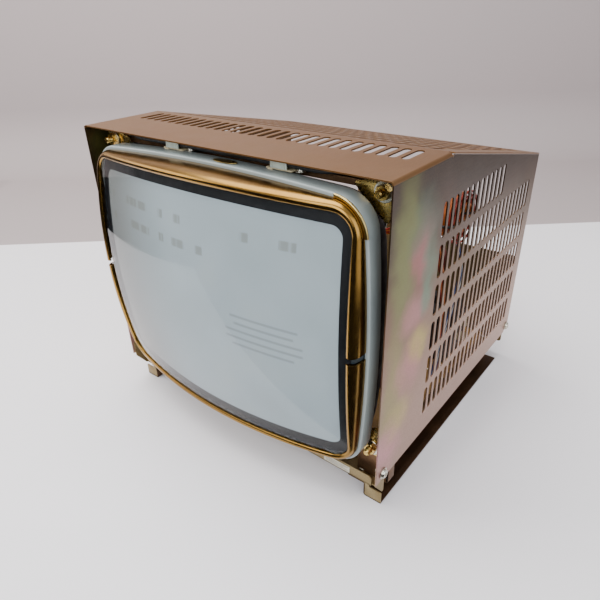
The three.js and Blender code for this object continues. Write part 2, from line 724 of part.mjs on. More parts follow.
const tubeNeck = () => turnedY([
  [NECK_START_Y + GAP, NECK_R - NECK_GLASS_T],
  [NECK_START_Y + GAP, NECK_R],
  [NECK_END_Y, NECK_R],
  [NECK_END_Y, 0],
  [NECK_END_Y - 2, 0],
  [NECK_END_Y - 2, NECK_R - NECK_GLASS_T],
  [NECK_START_Y + GAP, NECK_R - NECK_GLASS_T],
], 0, TUBE_Z, 20);

// Shadow mask: a thin domed sheet with a turned-back rim, behind the face glass
function shadowMask() {
  const shape = { hx: 138, hz: 104, sx: 3, sz: 3, r: 20 };
  const scales = [0.5, 1];
  const front = domeRings(shape, FACE_GLASS_T + 8, scales);
  const back = domeRings(shape, FACE_GLASS_T + 9, scales);
  const rimOuter = outline(shape).map(([x, z]) => [x, SEAL_Y + 10, z]);
  const inner = outline({ ...shape, hx: 137, hz: 103 });
  const rimInner = inner.map(([x, z]) => [x, SEAL_Y + 10, z]);
  const backEdge = inner.map(([x, z]) => [x, faceY(x, z) + FACE_GLASS_T + 9, z]);
  const rings = [...front, rimOuter, rimInner, backEdge, back[0]];
  return atTube(joinFaces(
    loft(rings),
    fan([0, FACE_Y + FACE_GLASS_T + 8, 0], front[0], true),
    fan([0, FACE_Y + FACE_GLASS_T + 9, 0], back[0], false)));
}

const electronGun = () => turnedY(GUN_PROFILE, 0, TUBE_Z, 10);

add('crt_panel', tubePanel(), MAT.face);
add('crt_funnel', tubeFunnel(), MAT.bulb);
add('crt_neck', tubeNeck(), MAT.neckGlass);
add('shadow_mask', shadowMask(), MAT.mask);
add('electron_gun', electronGun(), MAT.mask);

// ---- rim shells, band, ears, nuts -----------------------------------------------------------

// Half of a ring shell, swept along the outline above or below the split height
function halfRing(section, upper) {
  const points = outline(RIM_OUTLINE).length;
  const quarter = points / 4;
  const order = [];
  for (let i = 0; i <= points / 2; i += 1) {
    order.push((upper ? i : i + quarter * 2) % points);
  }
  const stations = order.map((i) => section(i));
  const split = upper ? RIM_SPLIT : -RIM_SPLIT;
  stations[0] = stations[0].map(([x, y]) => [x, y, split]);
  stations[stations.length - 1] = stations[stations.length - 1].map(([x, y]) => [x, y, split]);
  return stations;
}

function rimShell(upper) {
  const rear = outline(RIM_OUTLINE);
  const lip = outline(RIM_LIP_OUTLINE);
  const { hx, hz, r } = RIM_OUTLINE;
  const inner = outline({ ...RIM_OUTLINE, hx: hx - RIM_T, hz: hz - RIM_T, r: r - RIM_T });
  const section = (i) => {
    const [rx, rz] = rear[i];
    const [nx, nz] = inner[i];
    const [lx, lz] = lip[i];
    const front = faceY(lx, lz);
    const at = (ax, az, bx, bz, k, y) => [ax + (bx - ax) * k, y, az + (bz - az) * k];
    return [
      [rx, RIM_REAR_Y, rz],
      at(rx, rz, lx, lz, 0.06, front + 6),
      at(rx, rz, lx, lz, 0.3, front + 1),
      at(rx, rz, lx, lz, 0.65, front - 1.8),
      at(rx, rz, lx, lz, 1, front - 1.2),
      at(rx, rz, lx, lz, 1, front - GAP),
      at(nx, nz, lx, lz, 0.62, front - 0.4),
      at(nx, nz, lx, lz, 0.22, front + 2.6),
      at(nx, nz, lx, lz, 0.02, front + 6.6),
      [nx, RIM_REAR_Y, nz],
    ];
  };
  const stations = halfRing(section, upper);
  const last = stations[stations.length - 1];
  return atTube(joinFaces(loft(stations), stripCap(stations[0], false), stripCap(last, true)));
}

function ringBand(shape, wall, y0, y1) {
  const outer = outline(shape);
  const inner = outline({ ...shape, hx: shape.hx - wall, hz: shape.hz - wall, r: shape.r - wall });
  const at = (points, y) => points.map(([x, z]) => [x, y, z]);
  return atTube(loft([at(outer, y0), at(outer, y1), at(inner, y1), at(inner, y0)], true));
}

add('rim_shell_upper', rimShell(true), MAT.rim);
add('rim_shell_lower', rimShell(false), MAT.rim);
add('skirt_band', ringBand(BAND_OUTLINE, BAND_T, BAND_Y[0], BAND_Y[1]), MAT.band);

// Lug tab on top of the skirt band
const tabShape = new THREE.Shape();
tabShape.absellipse(17, 4.5, 13, 4.4, 0, Math.PI * 2, false);
const tab = new THREE.ExtrudeGeometry(tabShape, { depth: 0.6, bevelEnabled: false, curveSegments: 10 });
tab.translate(0, 0, TUBE_Z + BAND_OUTLINE.hz + GAP);
add('band_tab', tab, MAT.rim);

// Ear corners as offsets from the bolt, for an upper ear, and the tube outline cut out of it
const EAR_CORNERS = [[-26, 3], [-2, 9], [9, 9], [9, -3], [4, -24], [-5, -17], [-17, -6]];
const EAR_CLEAR_OUTLINE = { hx: 153.6, hz: 120.2, sx: 3.6, sz: 3.6, r: 26 };

// An ear: a steel strap from the tube corner out to the frame bolt
function ear(boltZ) {
  const sign = boltZ > TUBE_Z ? 1 : -1;
  const corner = (dx, dz) => [BOLT_X + dx, boltZ + sign * dz];
  const shape = polygon(EAR_CORNERS.map(([dx, dz]) => corner(dx, dz)));
  const ring = (y) => outline(EAR_CLEAR_OUTLINE).map(([x, z]) => [x, y, z]);
  const bulb = atTube(joinFaces(
    loft([ring(EAR_Y - 4), ring(EAR_Y + 6)]),
    fan([0, EAR_Y - 4, 0], ring(EAR_Y - 4), true),
    fan([0, EAR_Y + 6, 0], ring(EAR_Y + 6), false)));
  return subtract(plateXZ(shape, EAR_Y, EAR_T), drill(BOLT_X, boltZ, STUD_R + GAP, EAR_Y, 6), bulb);
}

function nut(z) {
  const hex = new THREE.Shape();
  for (let i = 0; i < 6; i += 1) {
    const t = (Math.PI / 3) * i + 0.3;
    const p = [BOLT_X + NUT_R * Math.cos(t), z + NUT_R * Math.sin(t)];
    if (i === 0) hex.moveTo(...p);
    else hex.lineTo(...p);
  }
  hex.closePath();
  const washerY = NUT_Y[1] - WASHER_T;
  const washerProfile = [[washerY, 0], [washerY, WASHER_R], [NUT_Y[1], WASHER_R], [NUT_Y[1], 0]];
  const washer = turnedY(washerProfile, BOLT_X, z, 20);
  const body = union(plateXZ(hex, NUT_Y[0], NUT_Y[1] - NUT_Y[0] - WASHER_T / 2), washer);
  return subtract(body, drill(BOLT_X, z, STUD_R + GAP, NUT_Y[0], 12));
}

[['upper', BOLT_Z[0]], ['lower', BOLT_Z[1]]].forEach(([place, z]) => {
  add(`ear_${place}_right`, ear(z), MAT.zinc);
  add(`ear_${place}_left`, mirrorX(ear(z)), MAT.zinc);
  add(`nut_${place}_right`, nut(z), MAT.brassy);
  add(`nut_${place}_left`, mirrorX(nut(z)), MAT.brassy);
});

// ---- degaussing coil ---------------------------------------------------------------------------

function sweep(points, radius, sides, steps, closed) {
  const knots = points.map((p) => new THREE.Vector3(...p));
  const curve = new THREE.CatmullRomCurve3(knots, closed, 'catmullrom', 0.5);
  const circle = new THREE.Shape();
  for (let i = 0; i < sides; i += 1) {
    const t = (Math.PI * 2 * i) / sides;
    if (i === 0) circle.moveTo(radius, 0);
    else circle.lineTo(radius * Math.cos(t), radius * Math.sin(t));
  }
  circle.closePath();
  return new THREE.ExtrudeGeometry(circle, { steps, extrudePath: curve, bevelEnabled: false });
}

function degaussCoil() {
  const bottomZ = TUBE_Z - 130;
  const half = [
    [70, COIL_TOP_Y, COIL_TOP_Z],
    [104, COIL_TOP_Y + 0.5, COIL_TOP_Z],
    [124, COIL_TOP_Y + 9, COIL_TOP_Z],
    [138, COIL_REAR_Y, 290],
    [150, COIL_REAR_Y + 3, 274],
    [157, COIL_REAR_Y + 2, 248],
    [159.5, COIL_REAR_Y, 200],
    [160, COIL_REAR_Y, TUBE_Z],
    [159.5, COIL_REAR_Y, 130],
    [156, COIL_REAR_Y, 82],
    [144, COIL_REAR_Y, 54],
    [118, COIL_REAR_Y, bottomZ + 4],
    [60, COIL_REAR_Y, bottomZ],
  ];
  const other = half.slice().reverse().map(([x, y, z]) => [-x, y, z]);
  const path = [[0, COIL_TOP_Y, COIL_TOP_Z], ...half, [0, COIL_REAR_Y, bottomZ], ...other];
  return sweep(path, COIL_R, 6, 48, true);
}

function coilClip(x) {
  const y0 = COIL_TOP_Y - COIL_R - GAP;
  const y1 = COIL_TOP_Y + COIL_R + GAP;
  const top = COIL_TOP_Z + COIL_R + GAP;
  const shape = polygon([
    [y0 - CLIP_WALL, CLIP_FOOT_Z],
    [y0, CLIP_FOOT_Z],
    [y0, top],
    [y1, top],
    [y1, CLIP_FOOT_Z],
    [y1 + CLIP_WALL, CLIP_FOOT_Z],
    [y1 + CLIP_WALL, top + CLIP_WALL / 2],
    [y0 - CLIP_WALL, top + CLIP_WALL / 2],
  ]);
  return plateYZ(shape, x - CLIP_W / 2, CLIP_W);
}

add('degauss_coil', degaussCoil(), MAT.tape);
CLIP_X.forEach((x, i) => add(`coil_clip_${['left', 'right'][i]}`, coilClip(x), MAT.white));

// ---- deflection yoke -----------------------------------------------------------------------------

const coneR = (y) => {
  const rings = CONE_RINGS;
  for (let i = 0; i < rings.length - 1; i += 1) {
    const [y0, r0] = rings[i];
    const [y1, r1] = rings[i + 1];
    if (y <= y1) return r0 + ((r1 - r0) * (y - y0)) / (y1 - y0);
  }
  return NECK_R;
};
const yokeYs = [LINER_Y[0], 165, 180, 195, 208, LINER_Y[1]];
const closedProfile = (points) => [...points, points[0]];

// A conical wall that follows the tube between two offsets from the glass
function coneWall(ys, inner, outer) {
  const inside = ys.map((y) => [y, coneR(y) + inner]).reverse();
  const outside = ys.map((y) => [y, coneR(y) + outer]);
  return closedProfile([...outside, ...inside]);
}

// The liner is a plastic cone with a wide front flange and a tail flange
function yokeLiner() {
  const outer = (y) => coneR(y) + YOKE_CLEAR + LINER_T;
  const [y0, y1] = LINER_Y;
  const outside = [
    [y0, LINER_FLANGE_R], [y0 + 2, LINER_FLANGE_R],
    ...[y0 + 2, 165, 180, 195, 208, y1 - 2].map((y) => [y, outer(y)]),
    [y1 - 2, LINER_TAIL_R], [y1, LINER_TAIL_R],
  ];
  const inside = yokeYs.slice().reverse().map((y) => [y, coneR(y) + YOKE_CLEAR]);
  return turnedY(closedProfile([...outside, ...inside]), 0, TUBE_Z, 24);
}

// One saddle winding: a curved slab over less than half of the cone
function saddleWinding(upper) {
  const ys = [LINER_Y[0] + 3, 165, 180, 195, LINER_Y[1] - 3];
  const from = YOKE_CLEAR + LINER_T + WINDING_CLEAR;
  const to = from + WINDING_T;
  const steps = 9;
  const span = (Math.PI / 180) * 164;
  const start = (upper ? 0 : Math.PI) + (Math.PI - span) / 2;
  const stations = [];
  for (let i = 0; i <= steps; i += 1) {
    const t = start + (span * i) / steps;
    const section = [
      ...ys.map((y) => [y, coneR(y) + from]),
      ...ys.slice().reverse().map((y) => [y, coneR(y) + to]),
    ];
    stations.push(section.map(([y, r]) => [r * Math.cos(t), y, r * Math.sin(t)]));
  }
  return atTube(joinFaces(loft(stations), stripCap(stations[0], false), stripCap(stations[steps], true)));
}

function yokeCore() {
  const ys = [CORE_Y[0], 180, CORE_Y[1]];
  const from = YOKE_CLEAR + LINER_T + WINDING_T + 2 * WINDING_CLEAR;
  return turnedY(coneWall(ys, from, from + CORE_T), 0, TUBE_Z, 24);
}

function yokeClamp() {
  const r = NECK_R + 0.6;
  const [y0, y1] = CLAMP_Y;
  const lugTop = TUBE_Z + CLAMP_R + 9;
  const ring = turnedY(closedProfile([[y0, r], [y0, CLAMP_R], [y1, CLAMP_R], [y1, r]]), 0, TUBE_Z, 20);
  const lug = box(-6, 6, y0 + 1.5, y1 - 1.5, TUBE_Z + CLAMP_R - 2.5, lugTop);
  const slit = box(-1, 1, y0 - 1, y1 + 1, TUBE_Z + 8, lugTop + 1);
  return subtract(union(ring, lug), slit);
}

add('yoke_liner', yokeLiner(), MAT.cream);
add('yoke_winding_upper', saddleWinding(true), MAT.copper);
add('yoke_winding_lower', saddleWinding(false), MAT.copper);
add('yoke_core', yokeCore(), MAT.ferrite);
add('yoke_clamp', yokeClamp(), MAT.zinc);

// ---- convergence rings, socket, neck board -------------------------------------------------------

function ringSleeve() {
  const r = NECK_R + 0.3;
  const [y0, y1] = SLEEVE_Y;
  const collar = RING_BORE_R + 5.5;
  const profile = [[y0, r]];
  SLEEVE_COLLARS_Y.forEach(([a, b]) => {
    if (a > y0) profile.push([a, SLEEVE_R]);
    profile.push([a, collar], [b, collar], [b, SLEEVE_R]);
  });
  profile.push([y1, SLEEVE_R], [y1, r]);
  return turnedY(closedProfile(profile), 0, TUBE_Z, 20);
}

// A thin magnet ring with one finger tab
function magnetRing(y, tabDegrees) {
  const t = (tabDegrees * Math.PI) / 180;
  const disc = turnedY([[y, 0], [y, RING_R], [y + RING_T, RING_R], [y + RING_T, 0]], 0, 0, 20);
  const tabPlate = box(RING_R - 2, RING_TAB_R, -0.8, 0.8, -3.4, 3.4);
  tabPlate.rotateY(-t);
  tabPlate.translate(0, y + RING_T / 2, 0);
  return atTube(subtract(union(disc, tabPlate), drill(0, 0, RING_BORE_R + 0.2, y, 6, 20)));
}

add('ring_sleeve', ringSleeve(), MAT.black);
RING_Y.forEach((y, i) => {
  const name = `${RING_NAMES[Math.floor(i / 2)]}_${i % 2 ? 'b' : 'a'}`;
  add(name, magnetRing(y, RING_TAB_ANGLES[i]), i % 2 ? MAT.white : MAT.black);
});

function crtSocket() {
  const [y0, y1] = SOCKET_Y;
  const profile = [[y0, 0], [y0, SOCKET_R - 1], [y0 + 1, SOCKET_R], [y1, SOCKET_R], [y1, 0]];
  return turnedY(profile, 0, TUBE_Z, 18);
}

add('crt_socket', crtSocket(), MAT.cream);

function neckBoard() {
  const { x0, x1, z0, z1 } = NECK_BOARD;
  return box(x0, x1, NECK_BOARD_Y, NECK_BOARD_Y + BOARD_T, z0, z1);
}

add('neck_board', neckBoard(), MAT.board);

// ---- main board and parts ------------------------------------------------------------------------

const boardTop = BOARD_Z + BOARD_T + GAP;
const mainBoard = () => box(-BOARD_HALF_W, BOARD_HALF_W, ...BOARD_Y, BOARD_Z, BOARD_Z + BOARD_T);

add('main_board', mainBoard(), MAT.board);

function flyback() {
  const { x, y, w, d, h } = FLYBACK;
  const body = box(x - w / 2, x + w / 2, y - d / 2, y + d / 2, boardTop, boardTop + h);
  const shaftBlock = box(x + w / 2 - 1, x + w / 2 + 5, y - 16, y + 16, boardTop + 14, boardTop + 60);
  const core = box(x - w / 2 - 8, x - w / 2 + 1, y - 10, y + 10, boardTop + 6, boardTop + h - 6);
  const top = boardTop + h;
  const outlet = turnedZ([[top - 1, 0], [top - 1, 9], [top + 8, 6], [top + 8, 0]], x, y, 16);
  return union(body, shaftBlock, core, outlet);
}

function knob(z) {
  const x0 = FLYBACK.x + FLYBACK.w / 2 + 5 + GAP;
  const body = turnedX([[x0, 0], [x0, KNOB_R], [x0 + 9, KNOB_R * 0.86], [x0 + 9, 0]], FLYBACK.y, z, 16);
  const groove = box(x0 + 7.6, x0 + 10, FLYBACK.y - 0.7, FLYBACK.y + 0.7, z - KNOB_R, z + KNOB_R);
  return subtract(body, groove);
}

function heatsink() {
  const { x, y, w, d, h, fins } = HEATSINK;
  const parts = [box(x - w / 2, x - w / 2 + 3, y - d / 2, y + d / 2, boardTop, boardTop + h)];
  for (let i = 0; i < fins; i += 1) {
    const yc = y - d / 2 + 1.2 + (i * (d - 2.4)) / (fins - 1);
    parts.push(box(x - w / 2 + 1, x + w / 2, yc - 1.1, yc + 1.1, boardTop, boardTop + h));
  }
  return union(...parts);
}

function canCapacitor({ x, y, r, h }) {
  const top = boardTop + h;
  return turnedZ([[boardTop, 0], [boardTop, r], [top - 1.5, r], [top, r - 1.5], [top, 0]], x, y, 18);
}

add('flyback_transformer', flyback(), MAT.black);
add('focus_knob', knob(KNOB_Z[1]), MAT.cream);
add('screen_knob', knob(KNOB_Z[0]), MAT.cream);
add('heatsink', heatsink(), MAT.alloy);
add('filter_capacitor', canCapacitor(CAP_LARGE), MAT.black);

// Anode cap on top of the bulb and its lead down to the flyback outlet
const ANODE_TILT = 0.52;
const anodeFoot = new THREE.Vector3(0, ANODE.y, TUBE_Z + 95.5);
const anodeUp = new THREE.Vector3(0, Math.sin(ANODE_TILT), Math.cos(ANODE_TILT));

function anodeCap() {
  const r = ANODE.capR;
  const geometry = turnedZ([[3.2, 0], [3.2, r], [4.6, r], [7, 9], [15, 6], [15, 0]], 0, 0, 16);
  geometry.rotateX(-ANODE_TILT);
  geometry.translate(anodeFoot.x, anodeFoot.y, anodeFoot.z);
  return geometry;
}

function anodeLead() {
  const start = anodeFoot.clone().addScaledVector(anodeUp, 15 + ANODE.leadR);
  const z1 = boardTop + FLYBACK.h + 8 + GAP;
  const path = [
    [start.x, start.y + 0.5, start.z],
    [start.x + 22, start.y + 12, start.z - 2],
    [70, 122, 262],
    [104, 168, 226],
    [118, 205, 178],
    [FLYBACK.x + 2, FLYBACK.y, z1 + 34],
    [FLYBACK.x, FLYBACK.y, z1],
  ];
  return sweep(path, ANODE.leadR, 6, 18, false);
}

add('anode_cap', anodeCap(), MAT.rubber);
add('anode_lead', anodeLead(), MAT.rubber);

export default model;
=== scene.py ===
"""Looks of the open-frame picture-tube monitor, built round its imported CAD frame.

Lengths in this file are millimetres unless a name ends in _M. Depths (the y numbers) count from the
front edge of the cover, and at() turns them into the frame's metres.
"""

import math
import random

import bmesh
import bpy
from mathutils import Matrix, Vector


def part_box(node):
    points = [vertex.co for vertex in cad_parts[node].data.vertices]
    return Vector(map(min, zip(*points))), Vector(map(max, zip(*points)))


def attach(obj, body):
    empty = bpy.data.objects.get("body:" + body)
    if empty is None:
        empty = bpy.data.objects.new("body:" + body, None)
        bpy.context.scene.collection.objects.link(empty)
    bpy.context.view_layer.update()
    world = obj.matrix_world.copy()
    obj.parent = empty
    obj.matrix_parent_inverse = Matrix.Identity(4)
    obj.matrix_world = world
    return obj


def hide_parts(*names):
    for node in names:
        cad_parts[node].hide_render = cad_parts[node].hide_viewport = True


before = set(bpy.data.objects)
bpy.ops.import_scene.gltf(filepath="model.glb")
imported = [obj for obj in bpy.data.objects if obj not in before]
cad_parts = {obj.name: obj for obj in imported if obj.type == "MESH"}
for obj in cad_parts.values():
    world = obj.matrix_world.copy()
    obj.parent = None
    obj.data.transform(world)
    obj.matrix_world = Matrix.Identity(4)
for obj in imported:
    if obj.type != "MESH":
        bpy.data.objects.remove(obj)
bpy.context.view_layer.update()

MM = 0.001
FRONT_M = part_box("cover_side_right")[0].y
random.seed(11)

# ---- driving sizes ---------------------------------------------------------------------------


def node_box(node):
    """A CAD node's box as (x0, x1, y0, y1, z0, z1) in this file's millimetres."""
    lo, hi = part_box(node)
    return (
        lo.x / MM, hi.x / MM,
        (lo.y - FRONT_M) / MM, (hi.y - FRONT_M) / MM,
        lo.z / MM, hi.z / MM,
    )


COVER = node_box("cover_top")
COVER_HALF_W = COVER[1]
COVER_TOP_Z = COVER[5]
COVER_REAR_Y = COVER[3]
COVER_REAR_Z = 256.0
COVER_BOTTOM_Z = node_box("cover_side_right")[4]
RIDGE_Y = 87.3
SHEET_T = 1.2
COVER_BEND = 2.2
ROOF_SLOPE = math.atan2(COVER_TOP_Z - COVER_REAR_Z, COVER_REAR_Y - RIDGE_Y)

SLOT_W = 6.4
SLOT_L = 29.5
SIDE_SLOT_PITCH = 10.4
SIDE_SLOT_FIRST_Y = 83.4
SIDE_SLOT_COLUMNS = 21
SIDE_TOP_COLUMNS = 13
SIDE_ROWS = 6
SIDE_ROW_TOP_Z = 253.3
ROW_PITCH = 35.5
TOP_SLOT_PITCH = 10.6
TOP_SLOT_COUNT = 29
TOP_SLOT_Y = 65.8
ROOF_ROWS = 6
ROOF_FIRST_ROW = 22.0
SCREW_Z = 44.5
SCREW_YS = {"front": 10.3, "rear": 306.0}
NOTCH_W = 5.6

TUBE_Z = sum(node_box("crt_neck")[4:]) / 2
FACE_Y = node_box("crt_panel")[2]
FACE_R = 565.0
SCREEN_DEPTH = 4.8
SCREEN_R = 563.5
SEAL_Y = 16.0
FACE_OUTLINE = dict(hx=147.2, hz=113.8, sx=1.8, sz=3.2, r=18)
SKIRT_OUTLINE = dict(hx=154, hz=120.4, sx=3.8, sz=3.8, r=25)
SCREEN_OUTLINE = dict(hx=138, hz=103.8, sx=1.8, sz=3.8, r=10.5)
RIM_REAR_Y = -1.9
RIM_OUTLINE = dict(hx=156, hz=122.2, sx=4.2, sz=4.0, r=27)
RIM_LIP_OUTLINE = dict(hx=147.1, hz=113.8, sx=1.8, sz=3.2, r=18)
RIM_SPLIT = 3.0
BAND_OUTLINE = dict(hx=158.3, hz=125, sx=4.2, sz=4.0, r=29)
BAND_Y = (-1.5, 15.0)
BOLT_X = 152.5
BOLT_ZS = {"upper": 289.5, "lower": 57.5}
NUT_Y = (15.4, 19.7)

# ---- mesh building ---------------------------------------------------------------------------


def at(x, y, z):
    """A point in this file's millimetres as the frame's metres."""
    return Vector((x * MM, FRONT_M + y * MM, z * MM))


class Shape:
    """Closed surfaces gathered in millimetres, then made into one named piece."""

    def __init__(self):
        self.verts = []
        self.faces = []
        self.marks = []

    def add(self, surface, mark=0, move=None):
        verts, faces = surface
        base = len(self.verts)
        if move is not None:
            verts = [tuple(move @ Vector(v)) for v in verts]
        self.verts += [tuple(v) for v in verts]
        self.faces += [[base + i for i in f] for f in faces]
        self.marks += [mark] * len(faces)
        return self

    def piece(self, name, body, slot, materials, replaces=(), angle=38.0, weld=True):
        mesh = bpy.data.meshes.new(name)
        mesh.from_pydata([at(*v) for v in self.verts], [], self.faces)
        for material in materials if isinstance(materials, (list, tuple)) else [materials]:
            mesh.materials.append(material)
        for polygon, mark in zip(mesh.polygons, self.marks):
            polygon.material_index = mark
        work = bmesh.new()
        work.from_mesh(mesh)
        if weld:
            bmesh.ops.remove_doubles(work, verts=work.verts, dist=2e-6)
        bmesh.ops.recalc_face_normals(work, faces=work.faces)
        work.to_mesh(mesh)
        work.free()
        mesh.shade_smooth()
        mesh.set_sharp_from_angle(angle=math.radians(angle))
        made = bpy.data.objects.new(name, mesh)
        bpy.context.scene.collection.objects.link(made)
        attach(made, body)
        if replaces:
            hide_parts(*([replaces] if isinstance(replaces, str) else replaces))
        # Large flat faces keep their own normals beside the small faces of their edges
        if "sheet" in name:
            even = made.modifiers.new("even", "WEIGHTED_NORMAL")
            even.keep_sharp = True
            even.weight = 100
        return made


def loft(rings, wrap=False, caps=True, closed=True):
    """Quads between rings of equal length; the ends are capped with a fan unless the loft wraps."""
    n = len(rings[0])
    verts = [p for ring in rings for p in ring]
    faces = []
    around = n if closed else n - 1
    for r in range(len(rings) if wrap else len(rings) - 1):
        a, b = r * n, ((r + 1) % len(rings)) * n
        for i in range(around):
            j = (i + 1) % n
            faces.append([a + i, a + j, b + j, b + i])
    if caps and not wrap:
        for start, ring in ((0, rings[0]), ((len(rings) - 1) * n, rings[-1])):
            centre = [sum(p[k] for p in ring) / n for k in range(3)]
            verts.append(tuple(centre))
            for i in range(n):
                faces.append([start + i, start + (i + 1) % n, len(verts) - 1])
    return verts, faces


AXES = {
    "x": lambda a, u, v: (a, u, v),
    "y": lambda a, u, v: (u, a, v),
    "z": lambda a, u, v: (u, v, a),
}


def lathe(axis, centre, profile, segments=48, turn=0.0):
    """Turns (along, radius) pairs about an axis; a profile is closed or runs from axis to axis."""
    place = AXES[axis]
    cx, cy, cz = centre
    rings = []
    for along, radius in profile:
        ring = []
        for i in range(segments):
            t = turn + 2 * math.pi * i / segments
            x, y, z = place(along, max(radius, 1e-4) * math.cos(t), max(radius, 1e-4) * math.sin(t))
            ring.append((x + cx, y + cy, z + cz))
        rings.append(ring)
    closed = profile[0] == profile[-1]
    if closed:
        rings.pop()
    return loft(rings, wrap=closed)


def box(x0, x1, y0, y1, z0, z1, round_by=0.0, segments=2):
    """A box with rounded edges."""
    work = bmesh.new()
    bmesh.ops.create_cube(work, size=1)
    for v in work.verts:
        v.co = Vector((
            x0 + (v.co.x + 0.5) * (x1 - x0),
            y0 + (v.co.y + 0.5) * (y1 - y0),
            z0 + (v.co.z + 0.5) * (z1 - z0),
        ))
    if round_by:
        bmesh.ops.bevel(
            work, geom=list(work.edges), offset=round_by, segments=segments, affect="EDGES", profile=0.5
        )
    return taken(work)


def taken(work):
    """The vertices and faces of a bmesh, which is then freed."""
    work.verts.ensure_lookup_table()
    work.verts.index_update()
    verts = [tuple(v.co) for v in work.verts]
    faces = [[v.index for v in f.verts] for f in work.faces]
    work.free()
    return verts, faces


def smooth_path(points, steps, closed=False):
    """A Catmull-Rom curve through the points."""
    made = []
    n = len(points)
    spans = n if closed else n - 1
    for i in range(spans):
        if closed:
            p = [Vector(points[(i + k) % n]) for k in (-1, 0, 1, 2)]
        else:
            p = [Vector(points[min(max(i + k, 0), n - 1)]) for k in (-1, 0, 1, 2)]
        for s in range(steps):
            t = s / steps
            made.append(0.5 * (
                2 * p[1] + (p[2] - p[0]) * t
                + (2 * p[0] - 5 * p[1] + 4 * p[2] - p[3]) * t * t
                + (3 * p[1] - p[0] - 3 * p[2] + p[3]) * t ** 3
            ))
    if not closed:
        made.append(Vector(points[-1]))
    return made


def tube(path, radius, sides=12, closed=False, flat=1.0):
    """A round or flattened tube along a path; radius is a number or a function of the share along."""
    n = len(path)
    tangents = []
    for i in range(n):
        before = path[(i - 1) % n] if closed else path[max(i - 1, 0)]
        after = path[(i + 1) % n] if closed else path[min(i + 1, n - 1)]
        tangents.append((after - before).normalized())
    side = tangents[0].orthogonal().normalized()
    frames = []
    for i in range(n):
        if i:
            turn = tangents[i - 1].rotation_difference(tangents[i])
            side = (turn @ side).normalized()
        frames.append(side.copy())
    twist = 0.0
    if closed:
        last = tangents[-1].rotation_difference(tangents[0]) @ frames[-1]
        twist = math.atan2(tangents[0].dot(last.cross(frames[0])), last.dot(frames[0]))
    rings = []
    for i, (p, t, s) in enumerate(zip(path, tangents, frames)):
        r = radius(i / n) if callable(radius) else radius
        other = t.cross(s)
        ring = []
        for k in range(sides):
            a = 2 * math.pi * k / sides + twist * i / n
            ring.append(tuple(p + s * (r * math.cos(a)) + other * (r * flat * math.sin(a))))
        rings.append(ring)
    return loft(rings, wrap=closed)


def arc(cx, cy, r, a0, a1, steps):
    """Points on an arc, angles in degrees."""
    return [
        (cx + r * math.cos(math.radians(a0 + (a1 - a0) * i / steps)),
         cy + r * math.sin(math.radians(a0 + (a1 - a0) * i / steps)))
        for i in range(steps + 1)
    ]


def slot_hole(u, v, width, length, steps=6):
    """A slot with round ends, long along v, clockwise."""
    r = width / 2
    top = arc(u, v + length / 2 - r, r, 180, 0, steps)
    bottom = arc(u, v - length / 2 + r, r, 0, -180, steps)
    return top + bottom


def round_corners(points, radius, steps=4):
    """A counter-clockwise polygon with its corners rounded; radius is a number or one per corner."""
    made = []
    n = len(points)
    for i, p in enumerate(points):
        r = radius[i] if isinstance(radius, (list, tuple)) else radius
        p = Vector(p)
        if r <= 0:
            made.append(tuple(p))
            continue
        a = (Vector(points[i - 1]) - p).normalized()
        b = (Vector(points[(i + 1) % n]) - p).normalized()
        half = a.angle(b) / 2
        back = min(r / math.tan(half), (Vector(points[i - 1]) - p).length * 0.49,
                   (Vector(points[(i + 1) % n]) - p).length * 0.49)
        r = back * math.tan(half)
        centre = p + (a + b).normalized() * (r / math.sin(half))
        start, end = p + a * back - centre, p + b * back - centre
        a0 = math.atan2(start.y, start.x)
        sweep = (math.atan2(end.y, end.x) - a0 + math.pi) % (2 * math.pi) - math.pi
        for k in range(steps + 1):
            t = a0 + sweep * k / steps
            made.append((centre.x + r * math.cos(t), centre.y + r * math.sin(t)))
    return made


def clockwise(points):
    area = sum(a[0] * b[1] - b[0] * a[1] for a, b in zip(points, points[1:] + points[:1]))
    return area < 0


def plate(outer, holes, thickness, edge=0.15):
    """A flat plate in (u, v) with holes and softened edges; its middle plane is w = 0."""
    curve = bpy.data.curves.new("plate", "CURVE")
    curve.dimensions = "2D"
    curve.fill_mode = "BOTH"
    curve.extrude = thickness / 2 - edge
    curve.bevel_depth = edge
    curve.bevel_resolution = 1
    curve.offset = -edge
    for k, points in enumerate([outer, *holes]):
        points = list(points)
        if clockwise(points) != (k > 0):
            points.reverse()
        spline = curve.splines.new("POLY")
        spline.points.add(len(points) - 1)
        for target, (u, v) in zip(spline.points, points):
            target.co = (u, v, 0, 1)
        spline.use_cyclic_u = True
    holder = bpy.data.objects.new("plate", curve)
    bpy.context.scene.collection.objects.link(holder)
    bpy.context.view_layer.update()
    mesh = bpy.data.meshes.new_from_object(holder.evaluated_get(bpy.context.evaluated_depsgraph_get()))
    work = bmesh.new()
    work.from_mesh(mesh)
    bmesh.ops.remove_doubles(work, verts=work.verts, dist=1e-3)
    bpy.data.objects.remove(holder)
    bpy.data.curves.remove(curve)
    bpy.data.meshes.remove(mesh)
    return taken(work)


# Where a plate's (u, v, w) go: the plane it is drawn in and its middle plane's place
def in_yz(x):
    return Matrix(((0, 0, 1, x), (1, 0, 0, 0), (0, 1, 0, 0), (0, 0, 0, 1)))


def in_xz(y):
    return Matrix(((1, 0, 0, 0), (0, 0, -1, y), (0, 1, 0, 0), (0, 0, 0, 1)))


def in_xy(z):
    return Matrix(((1, 0, 0, 0), (0, 1, 0, 0), (0, 0, 1, z), (0, 0, 0, 1)))




def mirrored(surface):
    verts, faces = surface
    return [(-x, y, z) for x, y, z in verts], [f[::-1] for f in faces]


